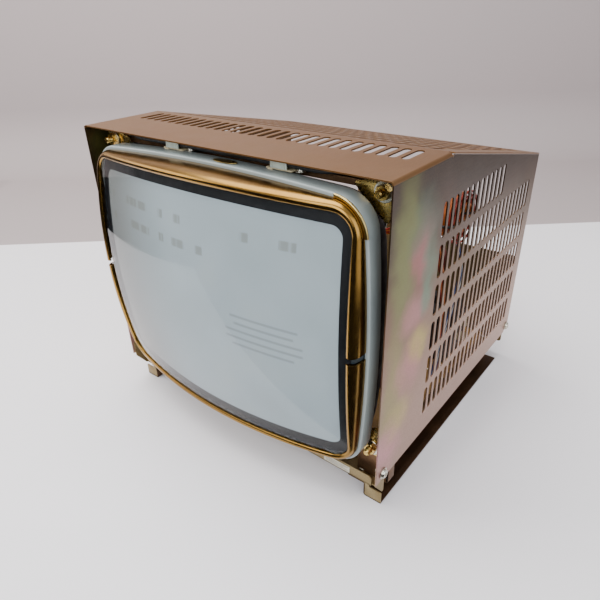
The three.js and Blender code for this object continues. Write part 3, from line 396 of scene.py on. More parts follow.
def bent_section(points, thickness, bend):
    """The closed outline of a folded sheet whose middle line is an open polyline."""
    line = [Vector(p) for p in points]
    middle = [line[0]]
    for i in range(1, len(line) - 1):
        a, b = (line[i - 1] - line[i]).normalized(), (line[i + 1] - line[i]).normalized()
        half = a.angle(b) / 2
        back = bend / math.tan(half)
        centre = line[i] + (a + b).normalized() * (bend / math.sin(half))
        start, end = line[i] + a * back - centre, line[i] + b * back - centre
        a0 = math.atan2(start.y, start.x)
        sweep = (math.atan2(end.y, end.x) - a0 + math.pi) % (2 * math.pi) - math.pi
        middle += [
            centre + Vector((math.cos(a0 + sweep * k / 6), math.sin(a0 + sweep * k / 6))) * bend
            for k in range(7)
        ]
    middle.append(line[-1])
    left, right = [], []
    for i, p in enumerate(middle):
        along = (middle[min(i + 1, len(middle) - 1)] - middle[max(i - 1, 0)]).normalized()
        normal = Vector((-along.y, along.x)) * (thickness / 2)
        left.append(tuple(p + normal))
        right.append(tuple(p - normal))
    return left + right[::-1]


def extruded(section, axis, a0, a1):
    """A section extruded along an axis: (y, z) for x, (x, z) for y, (x, y) for z."""
    place = AXES[axis]
    n = len(section)
    verts = [place(a, u, v) for a in (a0, a1) for u, v in section]
    faces = [[i, (i + 1) % n, n + (i + 1) % n, n + i] for i in range(n)]
    half = n // 2
    for base in (0, n):
        for i in range(half - 1):
            faces.append([base + i, base + i + 1, base + n - 2 - i, base + n - 1 - i])
    return verts, faces


def cut(obj, cutter, keep="DIFFERENCE"):
    """Cuts obj's mesh by a Shape's surfaces and leaves the result as its mesh."""
    mesh = bpy.data.meshes.new("cutter")
    mesh.from_pydata([at(*v) for v in cutter.verts], [], cutter.faces)
    work = bmesh.new()
    work.from_mesh(mesh)
    bmesh.ops.remove_doubles(work, verts=work.verts, dist=2e-6)
    bmesh.ops.recalc_face_normals(work, faces=work.faces)
    work.to_mesh(mesh)
    work.free()
    tool = bpy.data.objects.new("cutter", mesh)
    bpy.context.scene.collection.objects.link(tool)
    change = obj.modifiers.new("cut", "BOOLEAN")
    change.operation = keep
    change.solver = "EXACT"
    change.use_self = True
    change.object = tool
    bpy.context.view_layer.update()
    result = bpy.data.meshes.new_from_object(obj.evaluated_get(bpy.context.evaluated_depsgraph_get()))
    obj.modifiers.clear()
    obj.data = result
    result.name = obj.name
    result.set_sharp_from_angle(angle=math.radians(38))
    bpy.data.objects.remove(tool)
    return obj


def outline(shape, side_steps=10, corner_steps=12):
    """A rounded rectangle with bowed sides as (x, z) points round the tube's axis."""
    hx, hz, sx, sz, r = (shape[k] for k in ("hx", "hz", "sx", "sz", "r"))
    a, b = hx - r, hz - r
    ax, bz = a - sx, b - sz
    radius_x = (bz * bz + sx * sx) / (2 * sx)
    radius_z = (ax * ax + sz * sz) / (2 * sz)
    alpha, beta = math.asin(bz / radius_x), math.asin(ax / radius_z)
    quarter = []
    for i in range(side_steps):
        t = alpha * i / side_steps
        quarter.append((a - radius_x + (radius_x + r) * math.cos(t), (radius_x + r) * math.sin(t)))
    for i in range(corner_steps + 1):
        t = alpha + (math.pi / 2 - beta - alpha) * i / corner_steps
        quarter.append((ax + r * math.cos(t), bz + r * math.sin(t)))
    for i in range(1, side_steps):
        t = beta * (1 - i / side_steps)
        quarter.append(((radius_z + r) * math.sin(t), b - radius_z + (radius_z + r) * math.cos(t)))
    rest = quarter[1:]
    return (
        quarter + [(0, hz)] + [(-x, z) for x, z in rest[::-1]] + [(-hx, 0)]
        + [(-x, -z) for x, z in rest] + [(0, -hz)] + [(x, -z) for x, z in rest[::-1]]
    )


def grown(shape, by):
    """The same outline set out by a distance."""
    return dict(shape, hx=shape["hx"] + by, hz=shape["hz"] + by, r=shape["r"] + by)


def dome(x, z, vertex=FACE_Y, radius=FACE_R):
    """Depth of a sphere that faces the viewer."""
    return vertex + radius - math.sqrt(radius * radius - x * x - z * z)


def raised(points):
    """Points round the tube's axis moved up to its height."""
    return [(x, y, z + TUBE_Z) for x, y, z in points]

# ---- finishes --------------------------------------------------------------------------------


class Finish:
    """A material built from nodes round one Principled shader."""

    def __init__(self, name, metallic=0.0, roughness=0.5, **sockets):
        self.material = bpy.data.materials.new(name)
        self.material.use_nodes = True
        self.tree = self.material.node_tree
        self.shader = self.tree.nodes["Principled BSDF"]
        self.set("Metallic", metallic)
        self.set("Roughness", roughness)
        for socket, value in sockets.items():
            self.set(socket.replace("_", " "), value)
        self.place = self.node("ShaderNodeTexCoord").outputs["Object"]

    def node(self, kind, **settings):
        made = self.tree.nodes.new(kind)
        for key, value in settings.items():
            setattr(made, key, value)
        return made

    def set(self, socket, value):
        target = self.shader.inputs[socket]
        if isinstance(value, bpy.types.NodeSocket):
            self.tree.links.new(value, target)
        else:
            target.default_value = value

    def feed(self, target, value):
        if isinstance(value, bpy.types.NodeSocket):
            self.tree.links.new(value, target)
        else:
            target.default_value = value

    def math(self, operation, a, b=0.0, c=0.0, clamp=False):
        made = self.node("ShaderNodeMath", operation=operation, use_clamp=clamp)
        for target, value in zip(made.inputs, (a, b, c)):
            self.feed(target, value)
        return made.outputs[0]

    def split(self):
        made = self.node("ShaderNodeSeparateXYZ")
        self.tree.links.new(self.place, made.inputs[0])
        return made.outputs

    def stretched(self, x=1.0, y=1.0, z=1.0, vector=None):
        made = self.node("ShaderNodeMapping")
        self.feed(made.inputs["Vector"], vector or self.place)
        made.inputs["Scale"].default_value = (x, y, z)
        return made.outputs[0]

    def noise(self, size, detail=3.0, rough=0.5, vector=None, distort=0.0, colour=False):
        """Noise whose features are about size millimetres."""
        made = self.node("ShaderNodeTexNoise")
        self.feed(made.inputs["Vector"], vector or self.place)
        made.inputs["Scale"].default_value = 1 / (size * MM)
        made.inputs["Detail"].default_value = detail
        made.inputs["Roughness"].default_value = rough
        made.inputs["Distortion"].default_value = distort
        return made.outputs[1 if colour else 0]

    def ramp(self, value, stops, interpolation="LINEAR"):
        made = self.node("ShaderNodeValToRGB")
        self.feed(made.inputs[0], value)
        made.color_ramp.interpolation = interpolation
        elements = made.color_ramp.elements
        while len(elements) < len(stops):
            elements.new(0.5)
        for element, (position, colour) in zip(elements, stops):
            element.position = position
            element.color = (*tone(colour), 1.0)
        return made.outputs[0]

    def mix(self, share, a, b, blend="MIX"):
        made = self.node("ShaderNodeMix", data_type="RGBA", blend_type=blend)
        self.feed(made.inputs[0], share)
        for target, value in ((made.inputs[6], a), (made.inputs[7], b)):
            self.feed(target, value if isinstance(value, bpy.types.NodeSocket) else (*tone(value), 1.0))
        return made.outputs[2]

    def range(self, value, low, high, to_low=0.0, to_high=1.0, smooth=False):
        made = self.node("ShaderNodeMapRange", interpolation_type="SMOOTHSTEP" if smooth else "LINEAR")
        for target, number in zip(made.inputs, (value, low, high, to_low, to_high)):
            self.feed(target, number)
        return made.outputs[0]

    def bump(self, height, depth, strength=1.0, normal=None):
        """A bump of depth millimetres."""
        made = self.node("ShaderNodeBump")
        made.inputs["Strength"].default_value = strength
        made.inputs["Distance"].default_value = depth * MM
        self.feed(made.inputs["Height"], height)
        if normal is not None:
            self.feed(made.inputs["Normal"], normal)
        self.set("Normal", made.outputs[0])
        return made.outputs[0]


def tone(rgb):
    """An sRGB colour of 0 to 255 numbers as linear ones."""
    return tuple(((c / 255 + 0.055) / 1.055) ** 2.4 if c > 10.3 else c / 255 / 12.92 for c in rgb)


def spot(finish, x, y, centre, size):
    """A soft round spot of 1 at its centre, in the plane of two coordinates in metres."""
    dx = finish.math("DIVIDE", finish.math("SUBTRACT", x, centre[0]), size[0])
    dy = finish.math("DIVIDE", finish.math("SUBTRACT", y, centre[1]), size[1])
    far = finish.math(
        "SQRT", finish.math("ADD", finish.math("MULTIPLY", dx, dx), finish.math("MULTIPLY", dy, dy))
    )
    return finish.range(far, 0.15, 1.0, 1.0, 0.0, smooth=True)


def scratched(finish, base, amount=0.12, grain=(60, 1, 1)):
    """Fine drawn grain along one axis and a few scuffs, added to a roughness."""
    lines = finish.noise(18, 5, 0.65, finish.stretched(*grain))
    cloud = finish.noise(22, 4, 0.6)
    return finish.math(
        "ADD", finish.math("MULTIPLY_ADD", lines, amount, base - amount / 2),
        finish.math("MULTIPLY", cloud, amount * 0.6)
    )


# Passivation films colour the side sheets in soft clouds near their front edge:
# (depth, height, half depth, half height, colour, share)
SIDE_CLOUDS = [
    (24, 240, 20, 70, (150, 158, 84), 0.75),
    (18, 120, 16, 60, (158, 156, 92), 0.6),
    (50, 238, 15, 30, (206, 120, 122), 0.75),
    (52, 262, 22, 22, (104, 148, 120), 0.45),
    (64, 222, 12, 26, (112, 152, 122), 0.6),
    (44, 186, 20, 17, (212, 142, 146), 0.6),
    (62, 194, 10, 15, (110, 156, 130), 0.55),
    (56, 152, 16, 17, (206, 188, 92), 0.7),
    (42, 136, 20, 22, (210, 142, 146), 0.55),
    (34, 92, 20, 18, (202, 186, 104), 0.4),
    (14, 68, 20, 24, (222, 150, 168), 0.55),
    (78, 268, 26, 18, (104, 74, 56), 0.45),
]


def cover_finish(name, side):
    finish = Finish(name, metallic=0.78, roughness=0.4)
    z = finish.split()[2]
    cloud = finish.noise(95, 3, 0.5, distort=0.6)
    if side:
        base = finish.ramp(cloud, [(0.3, (98, 74, 48)), (0.5, (110, 82, 56)), (0.68, (120, 88, 68))])
        # Lighter towards the bottom: painted reflection of the pale floor on the lower side
        low = finish.range(z, 0.22, 0.05, smooth=True)
        base = finish.mix(finish.math("MULTIPLY", low, 0.9), base, (182, 150, 134))
        # Darker towards the top: painted shade on the upper side
        high = finish.range(z, 0.17, 0.28, smooth=True)
        base = finish.mix(finish.math("MULTIPLY", high, 0.92), base, (44, 30, 18))
        warp = finish.noise(26, 2, 0.5, colour=True)
        shift = finish.node("ShaderNodeVectorMath", operation="MULTIPLY_ADD")
        finish.feed(shift.inputs[0], warp)
        shift.inputs[1].default_value = (0.03, 0.03, 0.03)
        finish.feed(shift.inputs[2], finish.place)
        moved = finish.node("ShaderNodeSeparateXYZ")
        finish.feed(moved.inputs[0], shift.outputs[0])
        _, my, mz = moved.outputs
        for depth, height, half_y, half_z, colour, share in SIDE_CLOUDS:
            # Clouds higher up are darkened: painted shade that follows the darker upper side
            painted_shade_factor = 1.0 - 0.22 * min(max((height - 90) / 150, 0.0), 1.0)
            colour = tuple(c * painted_shade_factor for c in colour)
            mark = spot(finish, my, mz, (FRONT_M + (depth + 15) * MM, (height + 15) * MM),
                        (half_y * MM * 1.5, half_z * MM * 1.5))
            base = finish.mix(finish.math("MULTIPLY", mark, share), base, colour)
    else:
        base = finish.ramp(cloud, [(0.3, (122, 86, 48)), (0.5, (128, 92, 54)), (0.7, (126, 94, 60))])
        blush = finish.noise(38, 2, 0.5, distort=1.0)
        base = finish.mix(finish.range(blush, 0.5, 0.8, 0.0, 0.3), base, (130, 88, 62))
    speck = finish.noise(1.2, 2, 0.6)
    base = finish.mix(finish.range(speck, 0.42, 0.62, 0.0, 0.18), base, (98, 76, 50))
    finish.set("Base Color", base)
    finish.set("Roughness", scratched(finish, 0.36, 0.12, (1, 1, 22) if side else (22, 1, 1)))
    finish.bump(finish.noise(0.9, 3, 0.6), 0.012, 0.5)
    return finish.material


def sheet_finish(name, light, dark, roughness=0.4, metallic=0.8):
    """Zinc-plated and passivated steel sheet."""
    finish = Finish(name, metallic=metallic, roughness=roughness)
    cloud = finish.noise(42, 4, 0.55, distort=0.8)
    base = finish.mix(finish.range(cloud, 0.35, 0.65), dark, light)
    speck = finish.noise(1.6, 2, 0.6)
    base = finish.mix(finish.range(speck, 0.5, 0.7, 0.0, 0.3), base, tuple(c * 0.62 for c in dark))
    finish.set("Base Color", base)
    finish.set("Roughness", scratched(finish, roughness, 0.16, (9, 1, 9)))
    finish.bump(finish.noise(0.8, 3, 0.6), 0.012, 0.5)
    return finish.material


def gold_finish(name, light, dark, roughness):
    finish = Finish(name, metallic=1.0, roughness=roughness)
    cloud = finish.noise(85, 3, 0.5)
    base = finish.mix(finish.range(cloud, 0.3, 0.7), dark, light)
    speck = finish.noise(2.2, 3, 0.6)
    base = finish.mix(finish.range(speck, 0.55, 0.75, 0.0, 0.25), base, tuple(c * 0.8 for c in dark))
    finish.set("Base Color", base)
    finish.set(
        "Roughness", finish.range(finish.noise(7, 4, 0.6), 0.3, 0.7, roughness - 0.03, roughness + 0.05)
    )
    finish.bump(finish.noise(26, 2, 0.5), 0.01, 0.1)
    return finish.material


def plated_finish(name, light, dark, roughness=0.24):
    """Bright plating on small parts."""
    finish = Finish(name, metallic=1.0, roughness=roughness)
    cloud = finish.noise(4, 4, 0.6)
    finish.set("Base Color", finish.mix(finish.range(cloud, 0.35, 0.7), light, dark))
    finish.set(
        "Roughness", finish.range(finish.noise(1.5, 3, 0.6), 0.3, 0.7, roughness - 0.08, roughness + 0.16)
    )
    finish.bump(finish.noise(2.5, 3), 0.002, 0.15)
    return finish.material


def moulded_finish(name, colour, roughness=0.45, grain=0.7, depth=0.02, drift=0.12, **sockets):
    """Moulded plastic or rubber with a fine grain and slightly uneven colour."""
    finish = Finish(name, roughness=roughness, **sockets)
    cloud = finish.noise(14, 4, 0.6)
    darker = tuple(c * (1 - drift) for c in colour)
    base = finish.mix(finish.range(cloud, 0.3, 0.7), darker, colour)
    speck = finish.noise(0.9, 2, 0.5)
    base = finish.mix(finish.range(speck, 0.55, 0.75, 0.0, 0.35), base, tuple(c * 0.7 for c in colour))
    finish.set("Base Color", base)
    finish.set("Roughness", finish.range(finish.noise(6, 4), 0.3, 0.7, roughness - 0.07, roughness + 0.1))
    finish.bump(finish.noise(grain, 3, 0.6), depth, 0.6)
    return finish.material


def band_finish():
    finish = Finish("grey_band", roughness=0.34, Coat_Weight=0.25, Coat_Roughness=0.25)
    cloud = finish.noise(55, 3, 0.5)
    base = finish.ramp(cloud, [(0.3, (132, 142, 142)), (0.55, (142, 152, 151)), (0.75, (146, 153, 148))])
    scuff = finish.noise(9, 5, 0.7)
    base = finish.mix(finish.range(scuff, 0.62, 0.75, 0.0, 0.4), base, (150, 156, 150))
    finish.set("Base Color", base)
    finish.set("Roughness", finish.range(scuff, 0.3, 0.7, 0.28, 0.42))
    finish.bump(finish.noise(1.2, 3, 0.6), 0.02, 0.4)
    return finish.material


def screen_finish():
    """The phosphor behind the glass, with soft generic marks where a fixed display was burnt in."""
    finish = Finish("phosphor", roughness=0.75, Specular_IOR_Level=0.2)
    x, _, z = finish.split()
    cloud = finish.noise(70, 3, 0.5)
    base = finish.ramp(cloud, [(0.3, (146, 157, 161)), (0.55, (152, 163, 168)), (0.75, (157, 166, 168))])
    left = finish.range(x, -0.02, -0.135, smooth=True)
    base = finish.mix(finish.math("MULTIPLY", left, 0.85), base, (108, 107, 104))
    low = finish.range(z, 0.15, 0.03, smooth=True)
    base = finish.mix(finish.math("MULTIPLY", finish.math("MULTIPLY", left, low), 0.6), base, (84, 80, 75))
    top = TUBE_Z * MM
    for row, (height, starts) in enumerate(BURNT_ROWS):
        row_mark = finish.range(
            finish.math("ABSOLUTE", finish.math("SUBTRACT", z, top + height * MM)), 0.0030, 0.0044, 1.0, 0.0)
        cells = finish.noise(5 + row, 0, 0.5, finish.stretched(1, 0, 0))
        for start, end in starts:
            inside = finish.math(
                "MULTIPLY", finish.range(x, (start - 0.8) * MM, start * MM),
                finish.range(x, (end + 0.8) * MM, end * MM)
            )
            mark = finish.math("MULTIPLY", inside, finish.range(cells, 0.36, 0.5, 0.25, 1.0))
            share = finish.math("MULTIPLY", finish.math("MULTIPLY", mark, row_mark), 0.55)
            base = finish.mix(share, base, (112, 112, 104))
    for height, start, end in BURNT_LINES:
        across = finish.range(
            finish.math("ABSOLUTE", finish.math("SUBTRACT", z, top + height * MM)), 0.0007, 0.0016, 1.0, 0.0)
        inside = finish.math("MULTIPLY", finish.range(x, (start - 1.5) * MM, start * MM),
                             finish.range(x, (end + 1.5) * MM, end * MM))
        base = finish.mix(
            finish.math("MULTIPLY", finish.math("MULTIPLY", across, inside), 0.5), base, (112, 118, 120)
        )
    dots = finish.node("ShaderNodeTexVoronoi", feature="F1")
    finish.feed(dots.inputs["Vector"], finish.place)
    dots.inputs["Scale"].default_value = 1 / (0.62 * MM)
    base = finish.mix(finish.range(dots.outputs["Distance"], 0.3, 0.7, 0.0, 0.03), base, (90, 100, 104))
    finish.set("Base Color", base)
    finish.bump(finish.noise(0.35, 2), 0.004, 0.15)
    return finish.material


# Soft bars burnt into the phosphor: (height over the middle, [(from, to), ...]), and thin rules
BURNT_ROWS = [
    (79, [(-128, -122), (-98, -62), (-44, -38), (-22, -14), (52, 60), (88, 102)]),
    (58, [(-128, -122), (-92, -60), (-44, -38), (-26, -10), (4, 12)]),
]
BURNT_LINES = [(9, 40, 104), (2, 44, 100), (-5, 34, 108), (-12, 34, 108), (-19, 40, 100)]


def lens_finish():
    """The face glass: clear, with a polished front that mirrors more at a glancing angle."""
    material = bpy.data.materials.new("face_glass")
    material.use_nodes = True
    tree = material.node_tree
    tree.nodes.clear()
    node = tree.nodes.new
    out = node("ShaderNodeOutputMaterial")
    blend = node("ShaderNodeMixShader")
    clear = node("ShaderNodeBsdfTransparent")
    gloss = node("ShaderNodeBsdfGlossy")
    facing = node("ShaderNodeLayerWeight")
    steep = node("ShaderNodeMath")
    share = node("ShaderNodeMath")
    dust = node("ShaderNodeTexNoise")
    where = node("ShaderNodeTexCoord")
    smear = node("ShaderNodeMapRange")
    clear.inputs["Color"].default_value = (0.93, 0.95, 0.95, 1)
    gloss.inputs["Color"].default_value = (1, 1, 1, 1)
    facing.inputs["Blend"].default_value = 0.5
    steep.operation = "POWER"
    steep.inputs[1].default_value = 5.0
    share.operation = "MULTIPLY_ADD"
    share.inputs[1].default_value = 0.95
    share.inputs[2].default_value = 0.026
    dust.inputs["Scale"].default_value = 1 / (30 * MM)
    dust.inputs["Detail"].default_value = 5
    for target, value in zip(smear.inputs[1:5], (0.35, 0.7, 0.03, 0.09)):
        target.default_value = value
    link = tree.links.new
    link(where.outputs["Object"], dust.inputs["Vector"])
    link(dust.outputs[0], smear.inputs[0])
    link(smear.outputs[0], gloss.inputs["Roughness"])
    link(facing.outputs["Facing"], steep.inputs[0])
    link(steep.outputs[0], share.inputs[0])
    link(share.outputs[0], blend.inputs[0])
    link(clear.outputs[0], blend.inputs[1])
    link(gloss.outputs[0], blend.inputs[2])
    link(blend.outputs[0], out.inputs["Surface"])
    return material


def clear_finish():
    """The back of the face glass, which mirrors nothing."""
    material = bpy.data.materials.new("face_glass_back")
    material.use_nodes = True
    tree = material.node_tree
    tree.nodes.clear()
    out = tree.nodes.new("ShaderNodeOutputMaterial")
    clear = tree.nodes.new("ShaderNodeBsdfTransparent")
    tree.links.new(clear.outputs[0], out.inputs["Surface"])
    return material


def bulb_finish():
    """Dull graphite coating over glass, brushed on unevenly."""
    finish = Finish("bulb_coating", roughness=0.62, Specular_IOR_Level=0.35)
    stroke = finish.noise(9, 5, 0.65, finish.stretched(1, 0.35, 1))
    base = finish.mix(finish.range(stroke, 0.35, 0.7), (26, 26, 28), (52, 52, 55))
    finish.set("Base Color", base)
    finish.set("Roughness", finish.range(stroke, 0.3, 0.7, 0.5, 0.78))
    finish.bump(stroke, 0.06, 0.5)
    return finish.material


def neck_finish():
    finish = Finish("neck_glass", roughness=0.05, Transmission_Weight=0.9, IOR=1.5)
    haze = finish.noise(12, 4, 0.6)
    finish.set(
        "Base Color",
        finish.mix(finish.range(haze, 0.4, 0.75, 0.0, 0.4), (232, 240, 236), (196, 210, 206))
    )
    finish.set("Roughness", finish.range(haze, 0.3, 0.8, 0.03, 0.14))
    return finish.material


def tape_finish():
    """Black tape wound in overlapping turns."""
    finish = Finish("black_tape", roughness=0.4, Coat_Weight=0.2)
    cloud = finish.noise(5, 4, 0.6)
    finish.set("Base Color", finish.mix(finish.range(cloud, 0.3, 0.7), (16, 16, 19), (38, 38, 42)))
    finish.set("Roughness", finish.range(cloud, 0.3, 0.7, 0.3, 0.52))
    finish.bump(finish.noise(1.0, 3), 0.03, 0.5)
    return finish.material


def copper_finish(name, light, dark):
    """Lacquered winding wire; the turns are in the mesh."""
    finish = Finish(name, metallic=0.55, roughness=0.32, Coat_Weight=0.4, Coat_Roughness=0.2)
    lines = finish.noise(3, 4, 0.6, finish.stretched(1, 0.2, 1))
    finish.set("Base Color", finish.mix(finish.range(lines, 0.35, 0.7), dark, light))
    finish.bump(finish.noise(0.6, 2), 0.02, 0.4)
    return finish.material


def board_finish():
    """Phenolic paper board."""
    finish = Finish("circuit_board", roughness=0.55, Coat_Weight=0.15)
    fibre = finish.noise(3, 5, 0.7, finish.stretched(1, 6, 1))
    base = finish.mix(finish.range(fibre, 0.35, 0.7), (150, 112, 58), (178, 140, 82))
    scorch = finish.noise(48, 3, 0.5)
    base = finish.mix(finish.range(scorch, 0.55, 0.75, 0.0, 0.5), base, (108, 74, 40))
    finish.set("Base Color", base)
    finish.bump(fibre, 0.02, 0.4)
    return finish.material


FINISHES = {
    "cover_top": cover_finish("cover_top_steel", side=False),
    "cover_side": cover_finish("cover_side_steel", side=True),
    "chassis": sheet_finish("chassis_steel", (166, 148, 108), (138, 118, 80)),
    # The feet's channel takes a darker copy of the chassis steel: its colour is painted shade
    "foot": sheet_finish("foot_steel_painted_shade", (88, 62, 42), (64, 44, 28), 0.42),
    "frame": sheet_finish("frame_steel", (140, 108, 78), (104, 76, 54), 0.42),
    "rim": gold_finish("gold_rim", (164, 128, 64), (128, 96, 46), 0.22),
    "rim_light": gold_finish("gold_strip", (206, 184, 122), (180, 152, 92), 0.28),
    "band": band_finish(),
    "zinc": plated_finish("bright_zinc", (232, 230, 218), (198, 192, 172)),
    "yellow_zinc": plated_finish("yellow_zinc", (232, 204, 128), (196, 156, 78)),
    "lens": lens_finish(),
    "clear": clear_finish(),
    "screen": screen_finish(),
    "matrix": moulded_finish("screen_border", (16, 17, 22), 0.5, 0.8, 0.01),
    "bulb": bulb_finish(),
    "neck": neck_finish(),
    "mask": sheet_finish("mask_steel", (112, 116, 118), (84, 88, 90), 0.5),
    "black": moulded_finish("black_plastic", (30, 30, 32), 0.42),
    "white": moulded_finish("white_plastic", (222, 224, 214), 0.4),
    "clip": moulded_finish("clip_nylon", (214, 222, 206), 0.35, drift=0.2, Subsurface_Weight=0.1),
    "cream": moulded_finish("cream_plastic", (206, 192, 156), 0.42),
    "tape": tape_finish(),
    "ferrite": moulded_finish("ferrite", (58, 54, 52), 0.68, 1.4, 0.08),
    "copper": copper_finish("enamelled_copper", (200, 92, 44), (148, 52, 26)),
    "board": board_finish(),
    "rubber": moulded_finish("red_rubber", (118, 44, 34), 0.6, 1.0, 0.04),
    "alloy": sheet_finish("heatsink_alloy", (188, 190, 192), (160, 163, 166), 0.42, 0.95),
    "label": moulded_finish("blank_label", (214, 208, 188), 0.6, 0.6, 0.01),
    "skirt": moulded_finish("skirt_glass", (60, 68, 72), 0.25, 1.5, 0.01),
    "wire_red": moulded_finish("red_wire_sleeve", (168, 52, 34), 0.4),
    "wire_orange": moulded_finish("orange_wire_sleeve", (206, 110, 48), 0.4),
    "blue": moulded_finish("blue_sleeve", (38, 62, 120), 0.42),
    "amber": moulded_finish("amber_lacquer", (176, 104, 40), 0.3),
}

# ---- cover -----------------------------------------------------------------------------------

COVER_MIDDLE_X = COVER_HALF_W - SHEET_T / 2
COVER_MIDDLE_Z = COVER_TOP_Z - SHEET_T / 2
BEND_X = COVER_MIDDLE_X - COVER_BEND
ROOF_END = RIDGE_Y + (COVER_REAR_Y - RIDGE_Y) / math.cos(ROOF_SLOPE)
RIDGE_BEND = 1.2


def slot_grid(columns, rows, first, pitch, pitch_rows):
    return [(first[0] + c * pitch, first[1] + r * pitch_rows) for r in range(rows) for c in range(columns)]


def folded(x, s, w):
    """Where a point of the flat top pattern lands: x across, s along the sheet, w off its middle."""
    share = min(max((s - RIDGE_Y + RIDGE_BEND) / (2 * RIDGE_BEND), 0.0), 1.0)
    angle = ROOF_SLOPE * share
    run = max(s - RIDGE_Y, 0.0)
    y = min(s, RIDGE_Y) + run * math.cos(ROOF_SLOPE) + w * math.sin(angle)
    z = COVER_MIDDLE_Z - run * math.sin(ROOF_SLOPE) + w * math.cos(angle)
    over = abs(x) - BEND_X
    if over > 0 and s < RIDGE_Y - RIDGE_BEND:
        turn = min(over / COVER_BEND, math.pi / 2)
        x = math.copysign(BEND_X + (COVER_BEND + w) * math.sin(turn), x)
        z = COVER_MIDDLE_Z - COVER_BEND + (COVER_BEND + w) * math.cos(turn)
    return x, y, z


def cover_top():
    wide = BEND_X + COVER_BEND * math.pi / 2
    roof_x = COVER_HALF_W - 0.1
    relief = RIDGE_Y - 1.5
    right = [
        (wide, 0), (wide, relief), (BEND_X - 1.2, relief), (BEND_X - 1.2, RIDGE_Y + 1.4),
        (roof_x, RIDGE_Y + 1.4), (roof_x, ROOF_END),
    ]
    outer = [(-x, s) for x, s in right[::-1]]
    outer = right + outer
    first_x = -(TOP_SLOT_COUNT - 1) / 2 * TOP_SLOT_PITCH
    places = slot_grid(TOP_SLOT_COUNT, 1, (first_x, TOP_SLOT_Y), TOP_SLOT_PITCH, 0)
    places += slot_grid(
        TOP_SLOT_COUNT, ROOF_ROWS, (first_x, RIDGE_Y + ROOF_FIRST_ROW), TOP_SLOT_PITCH, ROW_PITCH
    )
    verts, faces = plate(outer, [slot_hole(x, s, SLOT_W, SLOT_L) for x, s in places], SHEET_T)
    work = bmesh.new()
    made = [work.verts.new(v) for v in verts]
    for f in faces:
        work.faces.new([made[i] for i in f])
    planes = [((0, RIDGE_Y + k * RIDGE_BEND / 2, 0), (0, 1, 0)) for k in (-2, -1, 0, 1, 2)]
    for k in range(6):
        x = BEND_X + COVER_BEND * math.pi / 2 * k / 6
        planes += [((x, 0, 0), (1, 0, 0)), ((-x, 0, 0), (1, 0, 0))]
    for point, normal in planes:
        bmesh.ops.bisect_plane(
            work, geom=list(work.verts) + list(work.edges) + list(work.faces),
            plane_co=point, plane_no=normal, dist=1e-5)
    for v in work.verts:
        v.co = Vector(folded(*v.co))
    return taken(work)


def cover_side():
    below = SHEET_T + 0.35
    y0, y1 = SCREW_YS["front"], SCREW_YS["rear"]
    half = NOTCH_W / 2
    top = SCREW_Z
    shape = [(0, COVER_BOTTOM_Z)]
    for y in (y0, y1):
        notch = arc(y, top, half, 180, 0, 8)
        shape += [(y - half, COVER_BOTTOM_Z)] + notch + [(y + half, COVER_BOTTOM_Z)]
    shape += [
        (COVER_REAR_Y, COVER_BOTTOM_Z), (COVER_REAR_Y, COVER_REAR_Z - below),
        (RIDGE_Y + 1.5, COVER_TOP_Z - below - 0.3), (RIDGE_Y - 1.6, COVER_MIDDLE_Z - COVER_BEND - 1.5),
        (RIDGE_Y - 1.6, COVER_MIDDLE_Z - COVER_BEND), (0, COVER_MIDDLE_Z - COVER_BEND),
    ]
    places = slot_grid(SIDE_TOP_COLUMNS, 1, (SIDE_SLOT_FIRST_Y, SIDE_ROW_TOP_Z), SIDE_SLOT_PITCH, 0)
    places += slot_grid(
        SIDE_SLOT_COLUMNS, SIDE_ROWS - 1, (SIDE_SLOT_FIRST_Y, SIDE_ROW_TOP_Z - ROW_PITCH),
        SIDE_SLOT_PITCH, -ROW_PITCH
    )
    return plate(shape, [slot_hole(y, z, SLOT_W, SLOT_L) for y, z in places], SHEET_T)


def build_cover():
    Shape().add(cover_top()).piece(
        "cover_top_sheet", "cover", "passivated_cover", FINISHES["cover_top"], "cover_top", angle=30)
    sheet = cover_side()
    for name, x in (("right", COVER_MIDDLE_X), ("left", -COVER_MIDDLE_X)):
        Shape().add(sheet, move=in_yz(x)).piece(
            f"cover_side_sheet_{name}", "cover", "passivated_cover", FINISHES["cover_side"],
            f"cover_side_{name}", angle=30)


def pan_head(axis, centre, radius, height, out=1):
    """A domed screw head; cross_cutter() gives the driver recess to cut from it."""
    profile = [(0, 0), (0, radius)]
    profile += [(height * math.sin(math.radians(a)), radius * (0.62 + 0.38 * math.cos(math.radians(a))))
                for a in (15, 35, 55, 75, 90)]
    profile.append((height, 0))
    return lathe(axis, centre, [(a * out, r) for a, r in profile], 40)


def cross_cutter(axis, centre, size, depth, out=1):
    """Two crossed wedges that cut a driver recess."""
    place = AXES[axis]
    cutter = Shape()
    for u_wide in (True, False):
        rings = []
        for along, wide, thin in ((0.6, 1.0, 0.26), (-depth, 0.45, 0.16)):
            u, v = (size * wide, size * thin) if u_wide else (size * thin, size * wide)
            ring = [place(along * out, a, b) for a, b in ((u, v), (-u, v), (-u, -v), (u, -v))]
            rings.append([tuple(p + c for p, c in zip(point, centre)) for point in ring])
        cutter.add(loft(rings))
    return cutter


